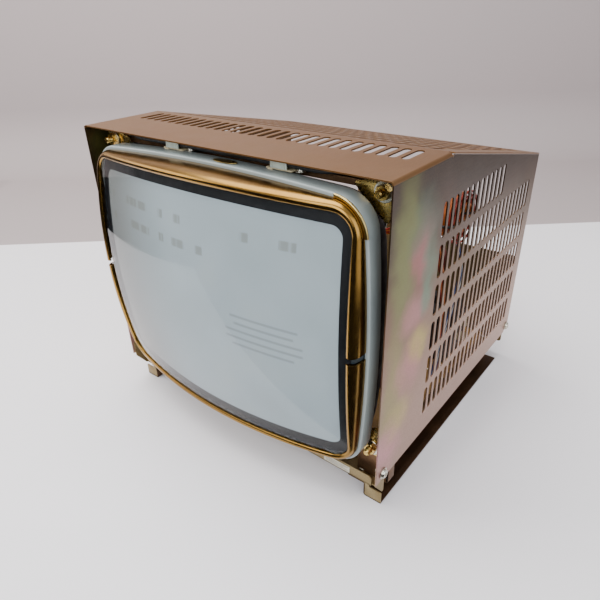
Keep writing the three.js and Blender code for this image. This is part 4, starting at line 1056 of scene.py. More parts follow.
def build_cover_screws():
    radius, height = 4.4, 3.0
    for place, y in SCREW_YS.items():
        for side, s in (("left", -1), ("right", 1)):
            face = s * (COVER_HALF_W + 0.3)
            shape = Shape()
            shape.add(lathe("x", (face, y, SCREW_Z), [(0, 0), (0, 5.4), (s * 0.7, 5.4), (s * 0.7, 0)], 40))
            shape.add(pan_head("x", (face + s * 0.5, y, SCREW_Z), radius, height - 0.5, s))
            turns = []
            inner = -s * 7.2
            steps = 24
            for k in range(steps + 1):
                turns.append((inner - inner * k / steps, 1.9 if k % 2 else 1.6))
            shape.add(lathe("x", (face, y, SCREW_Z), [(inner, 0), *turns, (0, 0)], 24))
            made = shape.piece(f"cover_screw_{place}_{side}_head", "chassis", "bright_zinc", FINISHES["zinc"],
                               f"cover_screw_{place}_{side}")
            cut(made, cross_cutter("x", (face + s * height, y, SCREW_Z), 2.3, 1.7, s))


# ---- pan, feet, rear panel -------------------------------------------------------------------

PAN = node_box("base_pan")
PAN_HALF_W, PAN_Z = PAN[1], PAN[4]
PAN_FRONT_Y, PAN_REAR_Y = 14.0, PAN[3]
TAB_TOP_Z = PAN[5]
TAB_FRONT_Y = (PAN[2], 16.8)
TAB_REAR_Y = (297.0, PAN[3])
LIP_HALF_W, LIP_TOP_Z = 157.0, 27.4
TAB_HEEL_Z, CORNER_WEB_TOP_Z, PAN_SIDE_X, REAR_LEG_Z = 33.0, 35.0, 161.0, 36.8
FOOT = node_box("foot_right")
FOOT_WEB_X = 149.4
FOOT_PLATE_Z = 13.4
BOARD = node_box("main_board")
POST_X = 135
POST_Y = (66, 292)


def build_pan():
    t = SHEET_T
    back = TAB_FRONT_Y[1]
    half = [
        (LIP_HALF_W, PAN_FRONT_Y), (LIP_HALF_W, back - t), (PAN_HALF_W, back - t), (PAN_HALF_W, back),
        (PAN_SIDE_X, back), (PAN_SIDE_X, PAN_REAR_Y),
    ]
    floor = half + [(-x, y) for x, y in half[::-1]]
    shape = Shape().add(plate(floor, [], t), move=in_xy(PAN_Z + t / 2))
    lip = round_corners(
        [
            (-LIP_HALF_W, PAN_Z + 0.2), (LIP_HALF_W, PAN_Z + 0.2), (LIP_HALF_W, LIP_TOP_Z),
            (-LIP_HALF_W, LIP_TOP_Z)
        ],
        [0, 0, 4.5, 4.5], 6
    )
    shape.add(plate(lip, [], t), move=in_xz(PAN_FRONT_Y + t / 2))
    for s in (-1, 1):
        for y0, y1 in (TAB_FRONT_Y, TAB_REAR_Y):
            is_front = y0 < 100
            foot = (
                [(y0, TAB_HEEL_Z), (y1 - 2 * t, PAN_Z), (y1, PAN_Z)] if is_front
                else [(y0, REAR_LEG_Z), (y1, REAR_LEG_Z)]
            )
            tab = round_corners([*foot, (y1, TAB_TOP_Z), (y0, TAB_TOP_Z)],
                                [2, 0, 0, 3, 3] if is_front else [0, 0, 3, 3], 5)
            y = SCREW_YS["front" if is_front else "rear"]
            hole = [
                (y + 2.2 * math.cos(k * math.pi / 8), SCREW_Z + 2.2 * math.sin(k * math.pi / 8))
                for k in range(16)
            ]
            shape.add(plate(tab, [hole], t), move=in_yz(s * (PAN_HALF_W - t / 2)))
        leg = bent_section(
            [
                (s * (PAN_SIDE_X - t / 2), PAN_Z + 0.1), (s * (PAN_SIDE_X - t / 2), REAR_LEG_Z + t / 2),
                (s * (PAN_HALF_W - 0.05), REAR_LEG_Z + t / 2)
            ],
            t, 1.0
        )
        shape.add(extruded(leg, "y", *TAB_REAR_Y))
        a, b = sorted((s * (PAN_SIDE_X + 1), s * (PAN_HALF_W - 0.05)))
        shape.add(box(a, b, back - t, back - 0.05, PAN_Z + 0.1, CORNER_WEB_TOP_Z, 0.25))
    for s in (-1, 1):
        for y in POST_Y:
            post = [(PAN_Z + 0.6, 0), (PAN_Z + 0.6, 4), (BOARD[4] - 0.3, 4), (BOARD[4] - 0.3, 0)]
            shape.add(lathe("z", (s * POST_X, y, 0), post, 6))
    shape.piece("base_pan_sheet", "chassis", "passivated_chassis", FINISHES["chassis"], "base_pan", angle=30)
    for s, side in ((-1, "left"), (1, "right")):
        z = PAN_Z + t + 0.1
        head = Shape().add(pan_head("z", (s * 140.6, 26.1, z), 3.6, 2.2))
        made = head.piece(f"pan_screw_{side}", "chassis", "bright_zinc", FINISHES["zinc"])
        cut(made, cross_cutter("z", (s * 140.6, 26.1, z + 2.2), 1.9, 1.3))


def build_feet():
    t = SHEET_T
    top = FOOT[5] - t / 2
    section = bent_section(
        [(FOOT[0], top), (FOOT_WEB_X + t / 2, top), (FOOT_WEB_X + t / 2, t / 2), (FOOT[1], t / 2)], t, 1.5)
    front = round_corners([
        (FOOT_WEB_X + 0.5, 0.2), (FOOT[1], 0.2), (FOOT[1], FOOT_PLATE_Z), (FOOT_WEB_X + 5.4, FOOT_PLATE_Z),
        (FOOT_WEB_X + 5.4, FOOT[5]), (FOOT_WEB_X + 0.5, FOOT[5]),
    ], [0.3, 1.2, 1.2, 1.0, 0.3, 0.3], 4)
    channel = extruded(section, "y", FOOT[2], FOOT[3])
    foot = Shape().add(plate(front, [], t), move=in_xz(FOOT[2] + t / 2))
    end_plate = (foot.verts, foot.faces)
    for side in ("right", "left"):
        shape = Shape()
        # The end plate takes the chassis steel; the channel takes the darker copy, whose colour is painted
        # shade
        for mark, surface in enumerate((end_plate, channel)):
            shape.add(surface if side == "right" else mirrored(surface), mark=mark)
        shape.piece(
            f"foot_channel_{side}", "chassis", "passivated_chassis",
            [FINISHES["chassis"], FINISHES["foot"]], f"foot_{side}", angle=30
        )


def build_label():
    x0, x1, y0, y1, z0, z1 = node_box("lip_label")
    shape = Shape().add(box(x0, x1, y0, y1, z0, z1, 0.1))
    for k in range(3):
        z = z0 + 1.6 + k * 1.7
        shape.add(box(x0 + 2, x1 - 2 - 5 * (k % 2), y0 - 0.05, y0 + 0.05, z, z + 0.5, 0.02), mark=1)
    shape.piece(
        "lip_label_blank", "chassis", "blank_label", [FINISHES["label"], FINISHES["black"]], "lip_label"
    )


def build_rear_panel():
    panel = node_box("rear_panel")
    inlet, signal = node_box("power_inlet"), node_box("signal_socket")
    t = panel[3] - panel[2]
    holes = []
    for x0, x1, _, _, z0, z1 in (inlet, signal):
        holes.append([(x0 + 2.6, z0 + 2.6), (x1 - 2.6, z0 + 2.6), (x1 - 2.6, z1 - 2.6), (x0 + 2.6, z1 - 2.6)])
    sheet = round_corners(
        [(panel[0], panel[4]), (panel[1], panel[4]), (panel[1], panel[5]), (panel[0], panel[5])], 3, 5)
    shape = Shape().add(plate(sheet, holes, t), move=in_xz((panel[2] + panel[3]) / 2))
    shape.piece(
        "rear_panel_sheet", "chassis", "passivated_chassis", FINISHES["chassis"], "rear_panel", angle=30
    )
    x0, x1, _, y1, z0, z1 = inlet
    shape = connector_shell(inlet, 5.6, 10)
    for dx, dz in ((-5, -2), (0, 3), (5, -2)):
        x, z = (x0 + x1) / 2 + dx, (z0 + z1) / 2 + dz
        shape.add(box(x - 0.8, x + 0.8, y1 - 11, y1 - 2.5, z - 2, z + 2, 0.3), mark=1)
    shape.piece(
        "power_inlet_body", "chassis", "black_plastic", [FINISHES["black"], FINISHES["zinc"]],
        "power_inlet"
    )
    x0, x1, _, y1, z0, z1 = signal
    shape = connector_shell(signal, 5.4, 8)
    for row in range(2):
        for k in range(12):
            x = x0 + 8 + k * (x1 - x0 - 16) / 11
            z = (z0 + z1) / 2 + (row - 0.5) * 3.4
            shape.add(box(x - 0.4, x + 0.4, y1 - 8.5, y1 - 2, z - 0.4, z + 0.4, 0.12), mark=1)
    shape.piece(
        "signal_socket_body", "chassis", "black_plastic", [FINISHES["black"], FINISHES["yellow_zinc"]],
        "signal_socket"
    )
    for k, (x, z) in enumerate([(-148, 30), (148, 30), (-148, 126), (148, 126)]):
        made = Shape().add(pan_head("y", (x, panel[3] + 0.1, z), 3.4, 2)).piece(
            f"rear_screw_{k + 1}", "chassis", "bright_zinc", FINISHES["zinc"])
        cut(made, cross_cutter("y", (x, panel[3] + 2.1, z), 1.8, 1.2))


def connector_shell(size, wall, depth):
    """A flange with a rectangular mouth, open towards the rear."""
    x0, x1, y0, y1, z0, z1 = size
    rect = lambda inset, y: [
        (x, y, z)
        for x, z in round_corners(
            [
                (x0 + inset, z0 + inset), (x1 - inset, z0 + inset), (x1 - inset, z1 - inset),
                (x0 + inset, z1 - inset)
            ],
            1.2, 4
        )
    ]
    flange_y = y1 - 1.4
    return Shape().add(loft([
        rect(3.4, y0), rect(3.4, flange_y), rect(0, flange_y), rect(0, y1 - 0.4), rect(0.4, y1),
        rect(wall - 0.4, y1), rect(wall, y1 - 0.5), rect(wall, y1 - depth),
    ]))


# ---- front frame -----------------------------------------------------------------------------

RAIL = node_box("front_frame_rail")
UPRIGHT = node_box("front_frame_right")
FRAME_Y = RAIL[2]
FRAME_T = 1.6
GUSSET_X = RAIL[1] + 0.3


def threaded(profile_start, profile_end, radius, pitch=0.8, depth=0.28):
    """Radii along a threaded rod."""
    steps = int(abs(profile_end - profile_start) / (pitch / 2))
    return [
        (profile_start + (profile_end - profile_start) * k / steps, radius - (depth if k % 2 else 0))
        for k in range(steps + 1)
    ]


def build_front_frame():
    z0, z1 = UPRIGHT[4], UPRIGHT[5]
    inner = 156.0
    web = round_corners([
        (GUSSET_X, z0), (UPRIGHT[1], z0), (UPRIGHT[1], z1), (GUSSET_X, z1),
        (GUSSET_X, BOLT_ZS["upper"] + 3), (inner, BOLT_ZS["upper"] - 22),
        (inner, BOLT_ZS["lower"] + 22), (GUSSET_X, BOLT_ZS["lower"] - 5),
    ], [0.5, 0.5, 0.5, 0.5, 3, 12, 12, 3], 5)
    extra = [(162, z, 1.7) for z in (90, 248)]
    holes = [[(x + r * math.cos(k * math.pi / 8), z + r * math.sin(k * math.pi / 8)) for k in range(16)]
             for x, z, r in extra]
    right = Shape().add(plate(web, holes, FRAME_T), move=in_xz(FRAME_Y + FRAME_T / 2))
    flange = [(FRAME_Y, z0), (FRAME_Y + 12, z0), (FRAME_Y + 12, z1), (FRAME_Y, z1)]
    right.add(plate(round_corners(flange, 0.4, 2), [], FRAME_T), move=in_yz(UPRIGHT[1] - FRAME_T / 2))
    stud_end = 10.0
    for z in BOLT_ZS.values():
        profile = [
            (stud_end, 0), (stud_end, 2.3), *threaded(stud_end + 0.7, FRAME_Y + 0.6, 3.0),
            (FRAME_Y + 0.6, 0)
        ]
        right.add(lathe("y", (BOLT_X, 0, z), profile, 28), mark=1)
    surfaces = {"right": (right.verts, right.faces), "left": mirrored((right.verts, right.faces))}
    for side, surface in surfaces.items():
        shape = Shape().add(surface)
        shape.marks = right.marks
        shape.piece(f"front_frame_post_{side}", "chassis", "passivated_chassis",
                    [FINISHES["frame"], FINISHES["yellow_zinc"]], f"front_frame_{side}", angle=30)
    shelf = GUSSET_X - 0.3 - 31
    section = bent_section(
        [
            (FRAME_Y + FRAME_T / 2, RAIL[4]), (FRAME_Y + FRAME_T / 2, RAIL[5] - FRAME_T / 2),
            (RAIL[3], RAIL[5] - FRAME_T / 2)
        ],
        FRAME_T, 1.6
    )
    rail = Shape().add(extruded(section, "x", -shelf, shelf))
    ends = [(RAIL[0], RAIL[4]), (RAIL[1], RAIL[4]), (RAIL[1], RAIL[5]), (RAIL[0], RAIL[5])]
    rail.add(plate(round_corners(ends, 0.8, 3), [], FRAME_T), move=in_xz(FRAME_Y + FRAME_T / 2))
    rail.piece(
        "front_frame_top_rail", "chassis", "passivated_chassis", FINISHES["frame"], "front_frame_rail",
        angle=30
    )
    web_y = RAIL[3] + 3.2
    web_top = COVER_TOP_Z - SHEET_T - 1.6
    edge = [(-GUSSET_X, RAIL[4] - 2), (GUSSET_X, RAIL[4] - 2), (GUSSET_X, web_top), (-GUSSET_X, web_top)]
    notches = [slot_hole(x, RAIL[4] + 5, 5, 9) for x in (-96, -20, 20, 96)]
    Shape().add(plate(round_corners(edge, 1.5, 4), notches, FRAME_T), move=in_xz(web_y)).piece(
        "rail_rear_web", "chassis", "passivated_chassis", FINISHES["frame"], angle=30)


# ---- picture tube ----------------------------------------------------------------------------


def disc_rings(shape, vertex, radius, steps=26, start=0.02):
    """Rings of an outline from its middle out, lying on a sphere."""
    edge = outline(shape)
    made = []
    for k in range(steps + 1):
        s = start + (1 - start) * k / steps
        made.append(raised([(x * s, dome(x * s, z * s, vertex, radius), z * s) for x, z in edge]))
    return made


def thin_dome(shape, vertex, radius, thickness):
    """A closed domed sheet."""
    front = disc_rings(shape, vertex, radius)
    back = disc_rings(shape, vertex + thickness, radius)
    return loft(front + back[::-1])


def build_face():
    edge_front = disc_rings(FACE_OUTLINE, FACE_Y, FACE_R)
    back_vertex = FACE_Y + SCREEN_DEPTH - 0.4
    edge_back = disc_rings(FACE_OUTLINE, back_vertex, FACE_R)
    verts, faces = loft(edge_front + edge_back[::-1])
    n = len(edge_front[0])
    front_faces = n * (len(edge_front) - 1)
    lens = Shape().add((verts, faces))
    lens.marks = [0 if k < front_faces or k >= len(faces) - 2 * n and k < len(faces) - n else 1
                  for k in range(len(faces))]
    lens.piece(
        "face_glass", "chassis", "face_glass", [FINISHES["lens"], FINISHES["clear"]], "crt_panel",
        angle=50
    )
    vertex = FACE_Y + SCREEN_DEPTH
    Shape().add(thin_dome(SCREEN_OUTLINE, vertex, SCREEN_R, 1.0)).piece(
        "phosphor_screen", "chassis", "face_glass", FINISHES["screen"], angle=50)
    ring = []
    inner, outer = outline(SCREEN_OUTLINE), outline(grown(FACE_OUTLINE, 0.4))
    for depth, shares in ((0.0, (0, 0.2, 0.4, 0.6, 0.8, 1)), (1.2, (1, 0.5, 0))):
        for k in shares:
            points = [(a[0] + (b[0] - a[0]) * k, a[1] + (b[1] - a[1]) * k) for a, b in zip(inner, outer)]
            ring.append(raised([(x, dome(x, z, vertex - 0.05, SCREEN_R) + depth, z) for x, z in points]))
    Shape().add(loft(ring, wrap=True)).piece(
        "screen_border", "chassis", "face_glass", FINISHES["matrix"], angle=50
    )
    face = outline(FACE_OUTLINE)
    skirt = outline(SKIRT_OUTLINE)
    inside = outline(grown(SKIRT_OUTLINE, -9))
    rings = []
    for k, dy in ((0.04, 5.6), (0.35, 5.2), (0.7, 6.4), (0.92, 9.0)):
        rings.append(raised([
            (a[0] + (b[0] - a[0]) * k, min(dome(a[0], a[1]) + dy, SEAL_Y - 1), a[1] + (b[1] - a[1]) * k)
            for a, b in zip(face, skirt)]))
    for points, y in ((skirt, SEAL_Y - 0.6), (outline(grown(SKIRT_OUTLINE, -0.5)), SEAL_Y), (inside, SEAL_Y)):
        rings.append(raised([(x, y, z) for x, z in points]))
    rings.append(raised([(x, min(dome(x, z) + 14, SEAL_Y - 0.8), z) for x, z in inside]))
    Shape().add(loft(rings, wrap=True)).piece(
        "tube_skirt", "chassis", "face_glass", FINISHES["skirt"], angle=50
    )


BULB_RINGS = [
    (SEAL_Y + 0.3, 153, 119.4, 26), (38, 149, 115, 36), (66, 132, 102, 44), (92, 111, 87, 50),
    (120, 82, 70, 56)
]
CONE_RINGS = [(148, 52), (165, 42), (180, 32.5), (195, 24), (208, 17.6), (216, 14.55)]
NECK = node_box("crt_neck")
NECK_R = (NECK[1] - NECK[0]) / 2


def bulb_ring(y, hx, hz, r):
    sag = lambda half: max(0.05, (half - r) * 0.03 + 0.05)
    return [(x, y, z) for x, z in outline(dict(hx=hx, hz=hz, sx=sag(hx), sz=sag(hz), r=r), 8, 8)]


def round_ring(y, radius):
    base = bulb_ring(0, SKIRT_OUTLINE["hx"], SKIRT_OUTLINE["hz"], SKIRT_OUTLINE["r"])
    return [
        (radius * math.cos(math.atan2(z, x)), y, radius * math.sin(math.atan2(z, x))) for x, _, z in base]


def smooth_rings(rings, steps):
    """Rings between rings, on smooth curves through their points."""
    columns = [smooth_path([ring[i] for ring in rings], steps) for i in range(len(rings[0]))]
    return [[tuple(column[k]) for column in columns] for k in range(len(columns[0]))]


def build_bulb():
    outer = smooth_rings(
        [bulb_ring(*ring) for ring in BULB_RINGS] + [round_ring(y, r) for y, r in CONE_RINGS], 5)
    inner = []
    for ring in outer:
        y = ring[0][1]
        inner.append(
            [(x * (1 - 3.0 / math.hypot(x, z)), y, z * (1 - 3.0 / math.hypot(x, z))) for x, _, z in ring]
        )
    shape = Shape().add(loft([raised(r) for r in outer] + [raised(r) for r in inner[::-1]], wrap=True))
    shape.piece("tube_bulb", "chassis", "bulb_coating", FINISHES["bulb"], "crt_funnel", angle=50)
    y0, y1 = NECK[2], NECK[3]
    wall = NECK_R - 1.8
    profile = [
        (y0, wall), (y0, NECK_R), (y1 - 4, NECK_R), (y1 - 1.5, NECK_R * 0.9), (y1, NECK_R * 0.5),
        (y1, 1e-3), (y1 - 1.5, 1e-3), (y1 - 1.6, NECK_R * 0.5), (y1 - 3.5, wall), (y0, wall)
    ]
    Shape().add(lathe("y", (0, 0, TUBE_Z), profile, 48)).piece(
        "neck_tube", "chassis", "neck_glass", FINISHES["neck"], "crt_neck", angle=50)


def build_gun():
    """Grid cups on glass rods, with contact springs."""
    shape = Shape()
    cups = [
        (232, 240, 9.4), (241.5, 246, 8.6), (247.5, 256, 9.2), (257.5, 264, 8.4), (265.5, 270, 7.6),
        (271, 277, 6)
    ]
    for y0, y1, r in cups:
        shape.add(lathe("y", (0, 0, TUBE_Z), [
            (y0, 0), (y0, r * 0.8), (y0 + 0.6, r), (y1 - 0.6, r), (y1, r * 0.8), (y1, 0)], 40))
    for k in range(3):
        t = math.pi / 2 + k * 2 * math.pi / 3
        x, z = 10.6 * math.cos(t), TUBE_Z + 10.6 * math.sin(t)
        rod = [(234, 0), (234, 1.1), (274, 1.1), (274, 0)]
        shape.add(lathe("y", (x, 0, z), rod, 12), mark=1)
        shape.add(box(x - 0.6, x + 0.6, 222, 233, z - 0.2, z + 0.2, 0.08))
    shape.piece("gun_stack", "chassis", "mask_steel", [FINISHES["mask"], FINISHES["white"]], "electron_gun")


def build_mask():
    shape = dict(hx=138, hz=104, sx=3, sz=3, r=20)
    vertex = FACE_Y + 20
    front = disc_rings(shape, vertex, FACE_R, 12)
    back = disc_rings(shape, vertex + 0.8, FACE_R, 12)
    rim_out = raised([(x, 26, z) for x, z in outline(shape)])
    rim_in = raised([(x, 26, z) for x, z in outline(grown(shape, -0.9))])
    Shape().add(loft(front + [rim_out, rim_in] + back[::-1])).piece(
        "mask_sheet", "chassis", "mask_steel", FINISHES["mask"], "shadow_mask", angle=50)


# ---- rim, band, ears -------------------------------------------------------------------------


def bezier(points, t):
    a, b, c, d = (Vector(p) for p in points)
    return a * (1 - t) ** 3 + b * 3 * t * (1 - t) ** 2 + c * 3 * t * t * (1 - t) + d * t ** 3


def rim_section(outer, lip):
    """The rim's section at one station: from the rear edge over the crest to the lip and back inside."""
    front = dome(*lip)
    rear = RIM_REAR_Y
    place = lambda k, y: (outer[0] + (lip[0] - outer[0]) * k, y, outer[1] + (lip[1] - outer[1]) * k)
    over = [(0, rear), (-0.02, front + (rear - front) * 0.42), (0.16, front - 1.8), (0.66, front - 1.9)]
    crest = [bezier(over, t / 12) for t in range(13)]
    lip_roll = [Vector((0.86, front - 1.65)), Vector((0.97, front - 1.2)), Vector((1.005, front - 0.7)),
                Vector((1.0, front - 0.25)), Vector((0.95, front - 0.2))]
    inside = [
        Vector((0.62, front - 0.2)), Vector((0.3, front + 0.9)),
        Vector((0.16, front + (rear - front) * 0.5)), Vector((0.12, rear))
    ]
    return [place(p.x, p.y) for p in crest + lip_roll + inside]


def build_rim():
    outer = outline(RIM_OUTLINE, 14, 18)
    lip = outline(RIM_LIP_OUTLINE, 14, 18)
    n = len(outer)
    for name, start, split in (("upper", 0, RIM_SPLIT), ("lower", n // 2, -RIM_SPLIT)):
        stations = []
        for k in range(n // 2 + 1):
            i = (start + k) % n
            section = rim_section(outer[i], lip[i])
            if k in (0, n // 2):
                section = [(x, y, split) for x, y, _ in section]
            stations.append(raised(section))
        Shape().add(loft(stations)).piece(
            f"rim_{name}_half", "chassis", "gold_rim", FINISHES["rim"], f"rim_shell_{name}", angle=60)


def band_rings(shape, wall, y0, y1, soft):
    """A band with softened edges as closed rings."""
    rings = []
    edge = [
        (soft * (1 - math.cos(math.radians(a))), soft * (1 - math.sin(math.radians(a))))
        for a in (0, 22, 45, 68, 90)
    ]
    for dy, inset in edge:
        rings.append((y0 + dy, -inset))
    for dy, inset in edge[::-1]:
        rings.append((y1 - dy, -inset))
    rings += [(y1, -wall), (y0, -wall)]
    return [raised([(x, y, z) for x, z in outline(grown(shape, by), 12, 16)]) for y, by in rings]


def build_band():
    Shape().add(loft(band_rings(BAND_OUTLINE, 3.6, *BAND_Y, 1.4), wrap=True)).piece(
        "skirt_band_strip", "chassis", "grey_band", FINISHES["band"], "skirt_band", angle=50)
    x0, x1, y0, y1, z0, z1 = node_box("band_tab")
    cx, cy, rx, ry = (x0 + x1) / 2, (y0 + y1) / 2, (x1 - x0) / 2, (y1 - y0) / 2
    oval = [(cx + rx * math.cos(k * math.pi / 24), cy + ry * math.sin(k * math.pi / 24)) for k in range(48)]
    Shape().add(plate(oval, [], z1 - z0, 0.2), move=in_xy((z0 + z1) / 2)).piece(
        "band_lug_tab", "chassis", "gold_rim", FINISHES["rim_light"], "band_tab")


def build_corner_strip():
    """A short lighter strip round the upper right corner, between the rim and the grey band."""
    inner = outline(grown(RIM_OUTLINE, 0.2), 14, 18)
    outer = outline(grown(RIM_OUTLINE, 3.0), 14, 18)
    front, rear = BAND_Y[0] - 1.8, BAND_Y[0] - 0.2
    stations = []
    for i in range(14, 33):
        (ax, az), (bx, bz) = inner[i], outer[i]
        point = lambda k, y: (ax + (bx - ax) * k, y, az + (bz - az) * k)
        stations.append(
            raised(
                [
                    point(0, rear), point(0, front + 0.5), point(0.2, front), point(0.75, front + 0.1),
                    point(1, front + 0.7), point(1, rear)
                ]
            )
        )
    Shape().add(loft(stations)).piece(
        "rim_corner_strip", "chassis", "gold_rim", FINISHES["rim_light"], angle=50
    )


def build_ears():
    thick = 2.0
    y = 20 + thick / 2
    for place, bolt_z in BOLT_ZS.items():
        s = 1 if bolt_z > TUBE_Z else -1
        corner = [(-26, 3), (-2, 9), (9, 9), (9, -3), (4, -24), (-5, -17), (-17, -6)]
        points = [(BOLT_X + dx, bolt_z + s * dz) for dx, dz in corner]
        if clockwise(points):
            points.reverse()
        hole = [
            (BOLT_X + 3.4 * math.cos(k * math.pi / 12), bolt_z + 3.4 * math.sin(k * math.pi / 12))
            for k in range(24)
        ]
        ear = plate(round_corners(points, 2.2, 4), [hole], thick, 0.3)
        for side in ("right", "left"):
            shape = Shape().add(ear, move=in_xz(y))
            if side == "left":
                shape.verts, shape.faces = mirrored((shape.verts, shape.faces))
            made = shape.piece(
                f"corner_ear_{place}_{side}", "chassis", "bright_zinc", FINISHES["yellow_zinc"],
                f"ear_{place}_{side}", angle=30
            )
            bulb = [raised([(x, yy, z) for x, z in outline(dict(hx=153.6, hz=120.2, sx=3.6, sz=3.6, r=26))])
                    for yy in (16, 26)]
            cut(made, Shape().add(loft(bulb)))


def build_nuts():
    y0, y1 = NUT_Y
    hex_r, washer_r, washer_t = 5.8, 7.8, 1.2
    for place, z in BOLT_ZS.items():
        for side, s in (("left", -1), ("right", 1)):
            x = s * BOLT_X
            hexagon = [
                (
                    x + hex_r * math.cos(0.3 * s + k * math.pi / 3),
                    z + hex_r * math.sin(0.3 * s + k * math.pi / 3)
                )
                for k in range(6)
            ]
            top = y1 - washer_t
            nut = Shape().add(extruded_y(hexagon, y0, top))
            made = nut.piece(f"hex_nut_{place}_{side}", "chassis", "yellow_zinc", FINISHES["yellow_zinc"],
                             f"nut_{place}_{side}", angle=25)
            cone = [
                (y0 - 0.1, 0), (y0 - 0.1, hex_r * 0.86), (y0 + 1.0, hex_r * 1.02),
                (top + 0.1, hex_r * 1.02), (top + 0.1, 0)
            ]
            cut(made, Shape().add(lathe("y", (x, 0, z), cone, 48)), keep="INTERSECT")
            cut(
                made,
                Shape().add(lathe("y", (x, 0, z), [(y0 - 1, 0), (y0 - 1, 3.25), (y1, 3.25), (y1, 0)], 32))
            )
            washer = [
                (top + 0.05, 3.4), (top + 0.05, washer_r - 0.3), (top + 0.35, washer_r),
                (y1 - 0.1, washer_r), (y1 - 0.1, 3.4), (top + 0.05, 3.4)
            ]
            Shape().add(lathe("y", (x, 0, z), washer, 48)).piece(
                f"washer_{place}_{side}", "chassis", "yellow_zinc", FINISHES["zinc"])


def extruded_y(points, y0, y1):
    """A flat convex outline in (x, z) as a prism between two depths."""
    return loft([[(x, y, z) for x, z in points] for y in (y0, y1)])


# ---- degaussing coil -------------------------------------------------------------------------

COIL_R = 3.2
COIL_TOP_Y, COIL_REAR_Y = 14.0, 36.0
COIL_TOP_Z = node_box("degauss_coil")[5] - COIL_R


def coil_path():
    bottom = TUBE_Z - 130
    half = [
        (70, COIL_TOP_Y, COIL_TOP_Z), (104, COIL_TOP_Y + 0.5, COIL_TOP_Z),
        (124, COIL_TOP_Y + 9, COIL_TOP_Z), (138, COIL_REAR_Y, 290), (150, COIL_REAR_Y + 3, 274),
        (157, COIL_REAR_Y + 2, 248), (159.5, COIL_REAR_Y, 200), (160, COIL_REAR_Y, TUBE_Z),
        (159.5, COIL_REAR_Y, 130), (156, COIL_REAR_Y, 82), (144, COIL_REAR_Y, 54),
        (118, COIL_REAR_Y, bottom + 4), (60, COIL_REAR_Y, bottom)
    ]
    other = [(-x, y, z) for x, y, z in half[::-1]]
    return smooth_path(
        [(0, COIL_TOP_Y, COIL_TOP_Z), *half, (0, COIL_REAR_Y, bottom), *other], 26, closed=True
    )


def build_coil():
    turns = 150
    radius = lambda share: COIL_R - 0.42 + 0.32 * ((share * turns) % 1.0)
    Shape().add(tube(coil_path(), radius, 14, closed=True)).piece(
        "coil_winding", "chassis", "black_tape", FINISHES["tape"], "degauss_coil", angle=60)
    for side in ("left", "right"):
        x0, x1, y0, y1, z0, z1 = node_box(f"coil_clip_{side}")
        wall = 1.3
        hoop = [
            (y0, z0), (y0, z1), (y1, z1), (y1, z0), (y1 - wall, z0), (y1 - wall, z1 - wall),
            (y0 + wall, z1 - wall), (y0 + wall, z0)
        ]
        block = plate(round_corners(hoop[::-1], [0.3, 0.3, 1.6, 1.6, 0.3, 0.3, 2.2, 2.2][::-1], 5), [],
                      x1 - x0 - 1.2, 0.35)
        shape = Shape().add(block, move=in_yz((x0 + x1) / 2))
        for x in (x0 + 2.5, x1 - 2.5):
            shape.add(box(x - 0.5, x + 0.5, y0 - 0.35, y0 + 0.6, z0 + 0.6, z1 - 1.4, 0.2))
        shape.piece(
            f"coil_clip_hoop_{side}", "chassis", "white_plastic", FINISHES["clip"], f"coil_clip_{side}"
        )
        base = Shape().add(box(x0 - 5, x1 + 3, y0 + 1.5, y1 + 7, RAIL[5] + 0.1, RAIL[5] + 1.3, 0.4))
        base.add(box(x0 - 3, x0 + 2, y0 + 0.8, y0 + 4, RAIL[5] - 0.8, RAIL[5] + 0.9, 0.3))
        base.piece(f"coil_clip_base_{side}", "chassis", "cream_plastic", FINISHES["cream"])
        centre = (x1 + 6.5, (y0 + y1) / 2 + 3, RAIL[5] + 0.6)
        head = Shape().add(lathe("z", centre, [(-0.4, 0), (-0.4, 4.2), (0, 4.2), (0, 0)], 32))
        head.add(pan_head("z", centre, 2.8, 1.9))
        head.piece(f"clip_screw_{side}", "chassis", "bright_zinc", FINISHES["zinc"])


# ---- deflection yoke -------------------------------------------------------------------------

LINER = node_box("yoke_liner")
LINER_Y = (LINER[2], LINER[3])
YOKE_CLEAR, LINER_T, WINDING_T, WINDING_CLEAR, CORE_T = 1.2, 1.6, 6.0, 1.0, 9.0
CORE = node_box("yoke_core")
CLAMP = node_box("yoke_clamp")


def cone_r(y):
    for (y0, r0), (y1, r1) in zip(CONE_RINGS, CONE_RINGS[1:]):
        if y <= y1:
            return r0 + (r1 - r0) * (y - y0) / (y1 - y0)
    return NECK_R


